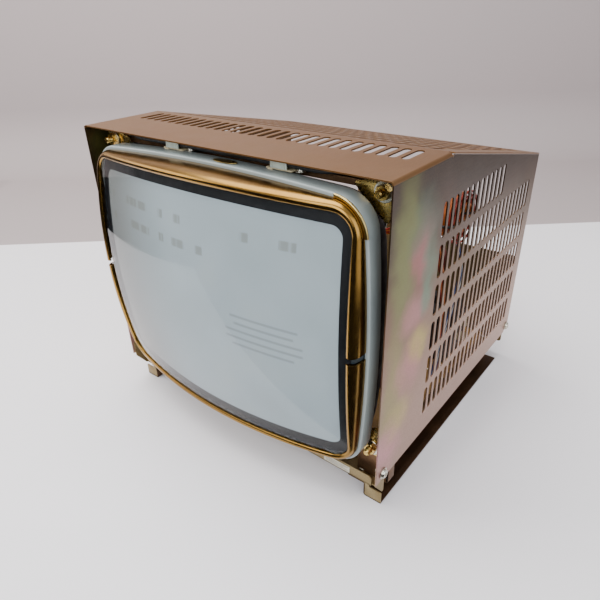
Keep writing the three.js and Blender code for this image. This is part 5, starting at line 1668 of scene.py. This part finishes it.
def build_yoke():
    y0, y1 = LINER_Y
    outer = lambda y: cone_r(y) + YOKE_CLEAR + LINER_T
    ys = [y0 + 2 + (y1 - y0 - 4) * k / 14 for k in range(15)]
    flange, tail = LINER[1], 34
    profile = [
        (y0, flange - 0.5), (y0 + 0.5, flange), (y0 + 1.5, flange), (y0 + 2, flange - 0.5),
        (y0 + 2, outer(y0) + 1)
    ]
    profile += [(y, outer(y)) for y in ys[1:-1]]
    profile += [
        (y1 - 2, outer(y1) + 1), (y1 - 2, tail - 0.4), (y1 - 1.6, tail), (y1 - 0.4, tail),
        (y1, tail - 0.4)
    ]
    profile += [(y, cone_r(y) + YOKE_CLEAR) for y in [y1, *ys[::-1], y0]]
    profile.append(profile[0])
    shape = Shape().add(lathe("y", (0, 0, TUBE_Z), profile, 72))
    for k in range(24):
        t = math.pi * 2 * (k + 0.5) / 24
        c, s = math.cos(t), math.sin(t)
        for r, y, size in ((flange - 3, y0 + 2, 1.4), (tail - 2.5, y1 - 3.2, 1.0)):
            shape.add(
                box(
                    r * c - size, r * c + size, y, y + 1.4, TUBE_Z + r * s - size, TUBE_Z + r * s + size,
                    0.4
                )
            )
    shape.piece("yoke_liner_cone", "yoke", "cream_plastic", FINISHES["cream"], "yoke_liner", angle=45)
    start, end = LINER_Y[0] + 3, LINER_Y[1] - 3
    base = YOKE_CLEAR + LINER_T + WINDING_CLEAR
    span = math.radians(164)
    for name, turn in (("upper", 0.0), ("lower", math.pi)):
        stations = []
        columns, rows = 120, 34
        for i in range(columns + 1):
            share = i / columns
            t = turn + (math.pi - span) / 2 + span * share
            edge = min(share, 1 - share) * 2
            strand = 0.28 * abs(math.sin(share * math.pi * 46))
            section = []
            for k in range(rows + 1):
                y = start + (end - start) * k / rows
                ends = min(k, rows - k) / rows * 2
                bulge = WINDING_T * (0.55 + 0.45 * math.sin(math.pi * min(1, edge * 2.2) / 2))
                roll = 0.5 + 0.5 * math.cos(math.pi * min(1.0, ends * 6))
                section.append((y, cone_r(y) + base + bulge + strand * (1 - roll) - 0.35))
            section += [
                (end - (end - start) * k / 4, cone_r(end - (end - start) * k / 4) + base)
                for k in range(5)
            ]
            stations.append([(r * math.cos(t), y, TUBE_Z + r * math.sin(t)) for y, r in section])
        Shape().add(loft(stations)).piece(
            f"saddle_coil_{name}", "yoke", "enamelled_copper", FINISHES["copper"], f"yoke_winding_{name}",
            angle=60
        )
    inner = base + WINDING_T + WINDING_CLEAR
    ys = [CORE[2] + (CORE[3] - CORE[2]) * k / 8 for k in range(9)]
    profile = [(y, cone_r(y) + inner + CORE_T - (0.8 if k in (0, 8) else 0)) for k, y in enumerate(ys)]
    profile += [(y, cone_r(y) + inner) for y in ys[::-1]] + [profile[0]]
    Shape().add(lathe("y", (0, 0, TUBE_Z), profile, 72)).piece(
        "ferrite_core", "yoke", "ferrite", FINISHES["ferrite"], "yoke_core", angle=40)
    springs = Shape()
    for s in (-1, 1):
        r = cone_r(CORE[2]) + inner + CORE_T + 0.6
        r_end = cone_r(CORE[3]) + inner + CORE_T + 0.6
        path = smooth_path(
            [
                (s * (r - 9), CORE[2] - 1.4, TUBE_Z), (s * r, CORE[2] - 1.2, TUBE_Z),
                (s * (r + 0.4), CORE[2] + 6, TUBE_Z), (s * (r_end + 0.6), CORE[3] - 5, TUBE_Z),
                (s * r_end, CORE[3] + 1.2, TUBE_Z), (s * (r_end - 8), CORE[3] + 1.4, TUBE_Z)
            ],
            8
        )
        springs.add(tube(path, 0.75, 10))
    springs.piece("core_springs", "yoke", "bright_zinc", FINISHES["zinc"])
    build_clamp()


def build_clamp():
    y0, y1 = CLAMP[2], CLAMP[3]
    r_in, r_out = NECK_R + 0.7, 21
    gap = math.radians(6)
    rings = []
    for k in range(49):
        t = math.pi / 2 + gap + (2 * math.pi - 2 * gap) * k / 48
        c, s = math.cos(t), math.sin(t)
        rings.append(
            [
                (r * c, y, TUBE_Z + r * s)
                for y, r in (
                    (y0, r_in), (y0, r_out - 3), (y0 + 2, r_out - 2.6), (y1 - 2, r_out - 2.6),
                    (y1, r_out - 3), (y1, r_in)
                )
            ]
        )
    shape = Shape().add(loft(rings))
    for s in (-1, 1):
        x = s * 3.2
        shape.add(box(x - 0.9, x + 0.9, y0 + 1, y1 - 1, TUBE_Z + r_out - 4, TUBE_Z + r_out + 9, 0.5))
    shape.piece("neck_clamp", "yoke", "bright_zinc", FINISHES["zinc"], "yoke_clamp", angle=40)
    z = TUBE_Z + r_out + 4.5
    y = (y0 + y1) / 2
    made = Shape().add(pan_head("x", (4.2, y, z), 3.4, 2.2)).add(
        lathe(
            "x", (0, y, z),
            [(-8, 0), *[(-8 + k * 0.5, 1.6 - 0.25 * (k % 2)) for k in range(25)], (4.2, 0)], 20
        )
    ).piece("clamp_screw", "yoke", "bright_zinc", FINISHES["zinc"])
    cut(made, cross_cutter("x", (6.4, y, z), 1.8, 1.2))


RING_NAMES = [f"{n}_pole_ring_{s}" for n in ("two", "four", "six") for s in "ab"]
RING_TAB_ANGLES = dict(zip(RING_NAMES, (75, 105, 60, 120, 45, 135)))


def build_rings():
    sleeve = node_box("ring_sleeve")
    collars = [(sleeve[2], 228.4), (234, 237.5), (244, 247.5), (254, 256.5)]
    r_in, r_body, r_collar = NECK_R + 0.35, 17.2, 23
    profile = [(sleeve[2], r_in), (sleeve[2], r_collar - 0.4)]
    for k, (a, b) in enumerate(collars):
        if k:
            profile += [(a, r_body), (a, r_collar - 0.4)]
        profile += [(a + 0.4, r_collar), (b - 0.4, r_collar), (b, r_collar - 0.4), (b, r_body)]
    profile += [(sleeve[3], r_body), (sleeve[3], r_in), (sleeve[2], r_in)]
    Shape().add(lathe("y", (0, 0, TUBE_Z), profile, 64)).piece(
        "ring_sleeve_body", "chassis", "black_plastic", FINISHES["black"], "ring_sleeve", angle=40)
    for k, name in enumerate(RING_NAMES):
        y0, y1 = node_box(name)[2:4]
        t = math.radians(RING_TAB_ANGLES[name])
        disc_r, bore_r, tab_r, half = 27.0, 17.7, 36.8, 3.4
        points = []
        edge = math.asin(half / disc_r)
        for i in range(73):
            a = t + edge + (2 * math.pi - 2 * edge) * i / 72
            points.append((disc_r * math.cos(a), disc_r * math.sin(a)))
        for a, r in ((-1, tab_r - 1.5), (-0.55, tab_r), (0.55, tab_r), (1, tab_r - 1.5)):
            u = Vector((math.cos(t), math.sin(t))) * r + Vector((-math.sin(t), math.cos(t))) * (a * half)
            points.append(tuple(u))
        hole = [(bore_r * math.cos(i * math.pi / 36), bore_r * math.sin(i * math.pi / 36)) for i in range(72)]
        shape = Shape().add(
            plate(points, [hole], 1.5, 0.25),
            move=Matrix.Translation((0, 0, TUBE_Z)) @ in_xz((y0 + y1) / 2)
        )
        grip = Vector((math.cos(t), math.sin(t))) * (tab_r - 3)
        for g in (-1, 0, 1):
            u = grip + Vector((math.cos(t), math.sin(t))) * g * 1.6
            shape.add(box(u.x - 0.5, u.x + 0.5, (y0 + y1) / 2 - 0.78, (y0 + y1) / 2 + 0.78,
                          TUBE_Z + u.y - 0.5, TUBE_Z + u.y + 0.5, 0.2))
        light = name.endswith("b")
        shape.piece(f"{name}_disc", f"{name}_body", "white_plastic" if light else "black_plastic",
                    FINISHES["white" if light else "black"], name)


# ---- boards and what stands on them ----------------------------------------------------------


def resistor(shape, x, y, z, along, length=7.5, radius=1.4):
    """A banded axial part lying just above a board; along is a unit direction in the board's plane."""
    ends = 3.0
    dx, dy, dz = along
    point = lambda k: (x + dx * k, y + dy * k, z + dz * k)
    body = [
        (-1, 0.55), (-0.92, 1.0), (-0.7, 1.0), (-0.6, 0.82), (0.6, 0.82), (0.7, 1.0), (0.92, 1.0),
        (1, 0.55)
    ]
    path = [Vector(point(length / 2 * a)) for a, _ in body]
    shares = [r for _, r in body]
    rings = tube(path, lambda s: radius * shares[min(int(round(s * len(body))), len(body) - 1)], 14)
    shape.add(rings, mark=0)
    wire = [Vector(point(-length / 2 - ends)), Vector(point(0)), Vector(point(length / 2 + ends))]
    shape.add(tube(wire, 0.35, 8), mark=1)
    return shape


def can(radius, height):
    """The profile of an electrolytic capacitor with its rolled bead."""
    return [
        (0, 0), (0, radius * 0.92), (0.5, radius), (height * 0.12, radius),
        (height * 0.15, radius * 0.93), (height * 0.18, radius), (height - 0.9, radius),
        (height - 0.25, radius * 0.96), (height, radius * 0.86), (height - 0.25, radius * 0.8),
        (height - 0.3, 0)
    ]


def build_neck_board():
    x0, x1, y0, y1, z0, z1 = node_box("neck_board")
    sheet = round_corners([(x0, z0), (x1, z0), (x1, z1), (x0, z1)], 2.5, 5)
    holes = [[(x + 1.6 * math.cos(k * math.pi / 8), z + 1.6 * math.sin(k * math.pi / 8)) for k in range(16)]
             for x in (x0 + 5, x1 - 5) for z in (z0 + 5, z1 - 5)]
    shape = Shape().add(plate(sheet, holes, y1 - y0, 0.2), move=in_xz((y0 + y1) / 2))
    shape.piece("neck_board_sheet", "neck_socket", "circuit_board", FINISHES["board"], "neck_board")
    solder = Shape()
    for k in range(64):
        x, z = random.uniform(x0 + 4, x1 - 4), random.uniform(z0 + 4, z1 - 4)
        solder.add(lathe("y", (x, y1, z), [(0, 0), (0, 1.2), (0.35, 0.8), (1.3, 0.3), (1.35, 0)], 12))
    for k in range(12):
        t = 2 * math.pi * k / 12
        solder.add(
            lathe(
                "y", (9 * math.cos(t), y1, TUBE_Z + 9 * math.sin(t)),
                [(0, 0), (0, 1.6), (0.4, 1.1), (1.7, 0.5), (1.8, 0)], 14
            )
        )
    solder.piece("neck_board_solder", "neck_socket", "bright_zinc", FINISHES["zinc"])
    parts = Shape()
    for k in range(3):
        for s in (-1, 1):
            resistor(parts, s * 34, y0 - 2.2, z0 + 14 + k * 9, (0, 0, 1), 9, 1.9)
    parts.piece("neck_board_resistors", "neck_socket", "circuit_board", [FINISHES["cream"], FINISHES["zinc"]])
    sx0, sx1, sy0, sy1 = node_box("crt_socket")[:4]
    r = (sx1 - sx0) / 2
    length = sy1 - sy0
    profile = [(0, 0), (0, 7.5), (1.0, 8.2), (1.0, r - 2.2), (0.4, r - 1.6), (1.4, r), (length * 0.55, r),
               (length * 0.6, r - 0.8), (length, r - 0.8), (length, 0)]
    socket = Shape().add(lathe("y", (0, sy0, TUBE_Z), profile, 64))
    for k in range(12):
        t = 2 * math.pi * k / 12
        x, z = 12.5 * math.cos(t), TUBE_Z + 12.5 * math.sin(t)
        socket.add(box(x - 1.1, x + 1.1, sy0 + 0.2, sy0 + 2, z - 1.1, z + 1.1, 0.3))
    socket.piece("socket_body", "neck_socket", "cream_plastic", FINISHES["cream"], "crt_socket", angle=45)


def build_main_board():
    x0, x1, y0, y1, z0, z1 = BOARD
    sheet = round_corners([(x0, y0), (x1, y0), (x1, y1), (x0, y1)], 3, 5)
    Shape().add(plate(sheet, [], z1 - z0, 0.2), move=in_xy((z0 + z1) / 2)).piece(
        "main_board_sheet", "chassis", "circuit_board", FINISHES["board"], "main_board")
    taken_up = [node_box(n) for n in ("flyback_transformer", "heatsink", "filter_capacitor")]

    def free(x, y, r):
        inside = x0 + r + 3 < x < x1 - r - 3 and y0 + r + 3 < y < y1 - r - 3
        post = any(math.hypot(x - px, y - py) < r + 6 for px in (-135, 135) for py in (66, 292))
        return inside and not post and all(
            not (b[0] - r - 2 < x < b[1] + r + 2 and b[2] - r - 2 < y < b[3] + r + 2) for b in taken_up)

    spots = []

    def place(r):
        for _ in range(400):
            x, y = random.uniform(x0, x1), random.uniform(y0 + 60, y1)
            if free(x, y, r) and all(math.hypot(x - a, y - b) > r + c + 1.5 for a, b, c in spots):
                spots.append((x, y, r))
                return x, y
        return None

    cans, films, coils, small = Shape(), Shape(), Shape(), Shape()
    for k in range(14):
        r = random.choice((4, 5, 6.5, 8, 11))
        where = place(r)
        if where:
            cans.add(lathe("z", (*where, z1 + 0.2), can(r, r * 2.4), 36), mark=k % 2)
    for k in range(16):
        where = place(8)
        if where:
            x, y = where
            wide, deep = (7, 3) if k % 2 else (3, 7)
            films.add(box(x - wide, x + wide, y - deep, y + deep, z1 + 0.3, z1 + 10 + k % 5, 1.2), mark=k % 3)
    for k in range(5):
        where = place(11)
        if where:
            x, y = where
            coils.add(
                lathe(
                    "z", (x, y, z1 + 0.3),
                    [(0, 0), (0, 10), (1.5, 10), (1.5, 6), (16, 6), (16, 10), (17.5, 10), (17.5, 0)], 36
                ),
                mark=1
            )
            wound = [(2, 0), (2, 8.6)] + [
                (2 + j * 0.5, 9.2 - 0.5 * (j % 2)) for j in range(1, 27)
            ] + [(15.6, 8.6), (15.6, 0)]
            coils.add(lathe("z", (x, y, z1 + 0.3), wound, 36), mark=0)
    for k in range(70):
        where = place(4.6)
        if where:
            along = (1, 0, 0) if k % 2 else (0, 1, 0)
            resistor(small, *where, z1 + 2.0, along, 7, 1.5)
    cans.piece("board_capacitors", "chassis", "black_plastic", [FINISHES["black"], FINISHES["blue"]])
    films.piece(
        "board_film_parts", "chassis", "circuit_board",
        [FINISHES["amber"], FINISHES["rubber"], FINISHES["white"]]
    )
    coils.piece("board_coils", "chassis", "enamelled_copper", [FINISHES["copper"], FINISHES["black"]])
    small.piece("board_resistors", "chassis", "circuit_board", [FINISHES["cream"], FINISHES["zinc"]])
    cx0, cx1, cy0, cy1, cz0, cz1 = node_box("filter_capacitor")
    r, h = (cx1 - cx0) / 2, cz1 - cz0
    Shape().add(lathe("z", ((cx0 + cx1) / 2, (cy0 + cy1) / 2, cz0), can(r, h), 56)).piece(
        "filter_can", "chassis", "black_plastic", FINISHES["blue"], "filter_capacitor", angle=45
    )
    build_heatsink()
    build_flyback()


def build_heatsink():
    x0, x1, y0, y1, z0, z1 = node_box("heatsink")
    shape = Shape().add(box(x0, x0 + 3, y0, y1, z0, z1, 0.5))
    fins = 5
    for k in range(fins):
        y = y0 + 1.2 + (y1 - y0 - 2.4) * k / (fins - 1)
        shape.add(box(x0 + 2, x1, y - 1.0, y + 1.0, z0, z1, 0.5))
    shape.piece("heatsink_fins", "chassis", "heatsink_alloy", FINISHES["alloy"], "heatsink")
    parts = Shape()
    for k, y in enumerate((y0 + 14, y0 + 38)):
        z = z0 + 24
        parts.add(box(x0 - 4.6, x0 - 0.3, y - 5, y + 5, z, z + 10, 0.4), mark=0)
        parts.add(box(x0 - 1.6, x0 - 0.2, y - 5, y + 5, z, z + 16, 0.3), mark=1)
        for j in (-1, 0, 1):
            parts.add(box(x0 - 3, x0 - 2.2, y + j * 2.5 - 0.4, y + j * 2.5 + 0.4, z0 - 1, z + 1, 0.1), mark=1)
    parts.piece("heatsink_transistors", "chassis", "black_plastic", [FINISHES["black"], FINISHES["zinc"]])


def build_flyback():
    x0, x1, y0, y1, z0, z1 = node_box("flyback_transformer")
    y = (y0 + y1) / 2
    body = (x0 + 8, x1 - 5)
    top = z1 - 8
    shape = Shape().add(box(body[0], body[1], y0, y1, z0, top, 3.0, 4))
    shape.add(box(body[1] - 1, x1, y - 16, y + 16, z0 + 14, z0 + 60, 1.2, 3))
    cx = (body[0] + body[1]) / 2
    shape.add(
        lathe(
            "z", (cx, y, top), [(-1, 0), (-1, 9), (1, 9), (3, 7.6), (8, 6.2), (8, 2.9), (4, 2.9), (4, 0)],
            40
        )
    )
    for k in range(5):
        z = z0 + 10 + k * 11
        shape.add(box(body[0] + 1, body[1] - 1, y0 - 0.5, y1 + 0.5, z, z + 2.4, 0.6))
    shape.piece("flyback_body", "chassis", "black_plastic", FINISHES["black"], "flyback_transformer")
    core = Shape()
    core.add(box(x0, body[0] + 1, y - 9, y + 9, z0 + 6, z0 + 30, 1.0))
    core.add(box(x0, body[0] + 1, y - 9, y + 9, z0 + 31, z1 - 14, 1.0))
    core.piece("flyback_core", "chassis", "ferrite", FINISHES["ferrite"])
    for name in ("focus", "screen"):
        kx0, kx1, ky0, ky1, kz0, kz1 = node_box(f"{name}_knob")
        r, cy, cz = (kz1 - kz0) / 2, (ky0 + ky1) / 2, (kz0 + kz1) / 2
        teeth, rings = 18, []
        for along, k in ((0, 1.0), (0.5, 1.0), (8.2, 0.9), (9, 0.82)):
            ring = []
            for i in range(teeth * 4):
                t = 2 * math.pi * i / (teeth * 4)
                rr = r * k * (1 if i % 4 < 2 else 0.93)
                ring.append((kx0 + along, cy + rr * math.cos(t), cz + rr * math.sin(t)))
            rings.append(ring)
        made = Shape().add(loft(rings)).piece(
            f"{name}_knob_cap", f"{name}_control", "cream_plastic", FINISHES["cream"], f"{name}_knob",
            angle=30
        )
        cut(made, Shape().add(box(kx0 + 7.6, kx1 + 1, cy - 0.7, cy + 0.7, cz - r, cz + r)))


def build_anode():
    foot = Vector((0, 78, TUBE_Z + 95.5))
    tilt = 0.52
    place = Matrix.Translation(foot) @ Matrix.Rotation(-tilt, 4, "X")
    cap_r = (node_box("anode_cap")[1] - node_box("anode_cap")[0]) / 2
    profile = [(3.3, 0), (3.3, cap_r - 0.3), (3.8, cap_r), (4.6, cap_r - 0.6)]
    profile += [
        (4.8 + 2.6 * k / 5, cap_r - 2 - (cap_r - 11) * math.sin(math.pi / 2 * k / 5)) for k in range(1, 6)
    ]
    profile += [(9.5, 7.2), (14, 6.2), (15, 5.2), (15, 0)]
    Shape().add(lathe("z", (0, 0, 0), profile, 64), move=place).piece(
        "anode_cap_rubber", "chassis", "red_rubber", FINISHES["rubber"], "anode_cap", angle=50)
    up = Vector((0, math.sin(tilt), math.cos(tilt)))
    start = foot + up * 17.4
    fly = node_box("flyback_transformer")
    fx, fy, fz = 112, (fly[2] + fly[3]) / 2, fly[5] + 0.3
    path = smooth_path(
        [
            (start.x, start.y + 0.5, start.z), (start.x + 22, start.y + 12, start.z - 2), (70, 122, 262),
            (104, 168, 226), (118, 205, 178), (fx + 2, fy, fz + 34), (fx, fy, fz)
        ],
        14
    )
    Shape().add(tube(path, 2.35, 16)).piece(
        "anode_lead_cable", "chassis", "red_rubber", FINISHES["rubber"], "anode_lead", angle=60)


LEAD_LOOP = (124, 222, 204)
LEAD_TURNS = 26


def build_wiring():
    """Yoke and board leads: flexible wires tied in a loop on the right of the tube neck."""
    reds, blues, browns = Shape(), Shape(), Shape()
    loop = Vector(LEAD_LOOP)
    for k in range(LEAD_TURNS):
        r = 10 + 17 * ((k * 0.38) % 1.0)
        x = loop.x + (k % 7 - 3) * 2.6
        ring = [(x + random.uniform(-1, 1), loop.y + (r * 1.25 + random.uniform(-1, 1)) * math.cos(t),
                 loop.z + (r + random.uniform(-1, 1)) * math.sin(t))
                for t in (j * math.pi / 6 for j in range(12))]
        reds.add(tube(smooth_path(ring, 4, closed=True), 1.25, 7, closed=True), mark=(k // 2) % 2)
    for k in range(4):
        x = 100 + k * 2.3
        reds.add(
            tube(
                smooth_path(
                    [
                        (58, 160 + k * 2, TUBE_Z + 18), (80, 168, TUBE_Z + 30 - k * 2), (x + 8, 172, 196),
                        (x + 12, 196, 180), (x + 18, 214, 130 - k * 6), (132, 200 - k * 3, 60),
                        (134, 190 - k * 3, BOARD[5] + 0.2)
                    ],
                    8
                ),
                0.9, 8
            ),
            mark=k % 2
        )
    for k in range(5):
        z = 190 - k * 3.2
        blues.add(
            tube(
                smooth_path(
                    [
                        (50, 297.5, z), (72, 296, z + 4), (98, 280, z - 14), (124 + k, 250, 142 - k * 3),
                        (136, 208 + k * 3, 112), (138, 178 + k * 2.6, 66),
                        (136, 172 + k * 3, BOARD[5] + 0.2)
                    ],
                    8
                ),
                0.85, 8
            ),
            mark=k % 2
        )
    for side in (-1, 1):
        band = [(loop.x + 12 * math.cos(t), loop.y + side * 24 + 12 * math.sin(t), loop.z)
                for t in (j * math.pi / 8 for j in range(16))]
        browns.add(tube(smooth_path(band, 2, closed=True), 1.4, 8, closed=True, flat=1.0))
    reds.piece("yoke_leads", "chassis", "red_rubber", [FINISHES["wire_red"], FINISHES["wire_orange"]])
    blues.piece("board_leads", "chassis", "black_plastic", [FINISHES["blue"], FINISHES["white"]])
    browns.piece("lead_ties", "chassis", "black_plastic", FINISHES["black"])


# ---- stage, light and camera -----------------------------------------------------------------


AWAY = Vector((-0.645, 0.764, 0))
ACROSS = Vector((0.764, 0.645, 0))
WALL_LINE_M = 0.453
FLOOR_TONE = (242, 240, 244)
WALL_TONE = (170, 160, 160)


def stage_finish(name, near_tone, far_tone, roughness=0.55):
    """Studio paper that changes tone along one line behind the object."""
    finish = Finish(name, roughness=roughness, Specular_IOR_Level=0.25)
    x, y, _ = finish.split()
    run = finish.math("ADD", finish.math("MULTIPLY", x, AWAY.x), finish.math("MULTIPLY", y, AWAY.y))
    beyond = finish.range(run, WALL_LINE_M - 0.0012, WALL_LINE_M + 0.0012, smooth=True)
    fibre = finish.range(finish.noise(400, 2), 0.3, 0.7)
    near = finish.mix(fibre, near_tone, tuple(c * 0.985 for c in near_tone))
    finish.set("Base Color", finish.mix(beyond, near, far_tone))
    return finish.material


def flat_mesh(name, verts, faces, material):
    mesh = bpy.data.meshes.new(name)
    mesh.from_pydata([tuple(v) for v in verts], [], faces)
    mesh.materials.append(material)
    made = bpy.data.objects.new(name, mesh)
    bpy.context.scene.collection.objects.link(made)
    return made


def build_stage():
    """A pale floor that curves up into a wall behind the object."""
    near, far, bend, top = -3.2, 1.05, 0.16, 2.2
    line = [(near, 0.0), (far - bend, 0.0)]
    line += [(far - bend + bend * math.sin(math.radians(a)), bend * (1 - math.cos(math.radians(a))))
             for a in range(10, 91, 10)]
    line.append((far, top))
    verts = [
        AWAY * out + ACROSS * side + Vector((0, 0, z - 0.0002)) for out, z in line for side in (-3.6, 3.6)
    ]
    faces = [[2 * k, 2 * k + 1, 2 * k + 3, 2 * k + 2] for k in range(len(line) - 1)]
    made = flat_mesh("studio", verts, faces, stage_finish("studio_paper", FLOOR_TONE, WALL_TONE))
    for polygon in made.data.polygons:
        polygon.use_smooth = True


def build_black_cards():
    """Black cards in front of the table edge, seen only in what mirrors them."""
    card = Finish("black_card", roughness=0.9, Specular_IOR_Level=0.1)
    card.set("Base Color", card.mix(card.range(card.noise(60, 3), 0.3, 0.7), (14, 15, 18), (24, 25, 29)))
    corner = Vector((-0.44, -0.59, 0.0015))
    front, left = Vector((0.82, 0.572, 0)), Vector((-0.683, 0.73, 0))
    out_front, out_left = Vector((0.572, -0.82, 0)), Vector((-0.73, -0.683, 0))
    run, reach, rise = 1.3, 2.6, Vector((0, 0, 1.1))
    far = [corner + front * run + out_front * reach, corner + out_front * reach,
           corner + out_left * reach, corner + left * run + out_left * reach]
    verts = [corner, corner + front * run, corner + left * run, *far, *[v + rise for v in far]]
    faces = [[0, 1, 3, 4], [0, 4, 5], [0, 5, 6, 2], [3, 4, 8, 7], [4, 5, 9, 8], [5, 6, 10, 9]]
    made = flat_mesh("black_cards", verts, faces, card.material)
    made.visible_camera = False
    made.visible_diffuse = False
    made.visible_shadow = False
    made.visible_transmission = False


def area_light(name, place, target, size, power, colour=(1, 1, 1), size_y=None):
    light = bpy.data.lights.new(name, "AREA")
    light.shape = "RECTANGLE"
    light.size, light.size_y = size, size_y or size
    light.energy, light.color = power, colour
    made = bpy.data.objects.new(name, light)
    made.location = place
    made.rotation_euler = (Vector(target) - Vector(place)).to_track_quat("-Z", "Y").to_euler()
    bpy.context.scene.collection.objects.link(made)
    return made


def build_lights():
    world = bpy.data.worlds.new("studio_air")
    bpy.context.scene.world = world
    world.use_nodes = True
    background = world.node_tree.nodes["Background"]
    background.inputs["Color"].default_value = (0.80, 0.80, 0.82, 1)
    background.inputs["Strength"].default_value = 0.85
    middle = (0, 0, 0.15)
    area_light("overhead", (-0.35, -0.1, 1.55), middle, 1.3, 36, (1.0, 0.98, 0.95))
    area_light("front", (0.1, -1.7, 1.25), middle, 1.2, 20, (0.97, 0.98, 1.0))
    area_light("left", (-1.7, -0.9, 1.1), middle, 1.2, 16, (1.0, 0.95, 0.9))
    area_light("right", (1.6, -0.6, 0.9), middle, 1.4, 14, (0.95, 0.97, 1.0))


CAMERA_PLACE_M = (0.32585, -0.42611, 0.40297)
CAMERA_TURN_DEG = (60.723, 1.584, 38.234)
CAMERA_LENS = 32.05


def build_camera():
    lens = bpy.data.cameras.new("camera")
    lens.sensor_width = 36
    lens.lens = CAMERA_LENS
    lens.clip_start, lens.clip_end = 0.01, 20
    camera = bpy.data.objects.new("camera", lens)
    camera.location = CAMERA_PLACE_M
    camera.rotation_euler = [math.radians(a) for a in CAMERA_TURN_DEG]
    bpy.context.scene.collection.objects.link(camera)
    bpy.context.scene.camera = camera


for build in (
    build_cover, build_cover_screws, build_pan, build_feet, build_label, build_rear_panel, build_front_frame,
    build_face, build_bulb, build_gun, build_mask, build_rim, build_band, build_corner_strip, build_ears,
    build_nuts, build_coil,
    build_yoke, build_rings, build_neck_board, build_main_board, build_anode, build_wiring, build_stage,
    build_black_cards, build_lights, build_camera,
):
    build()
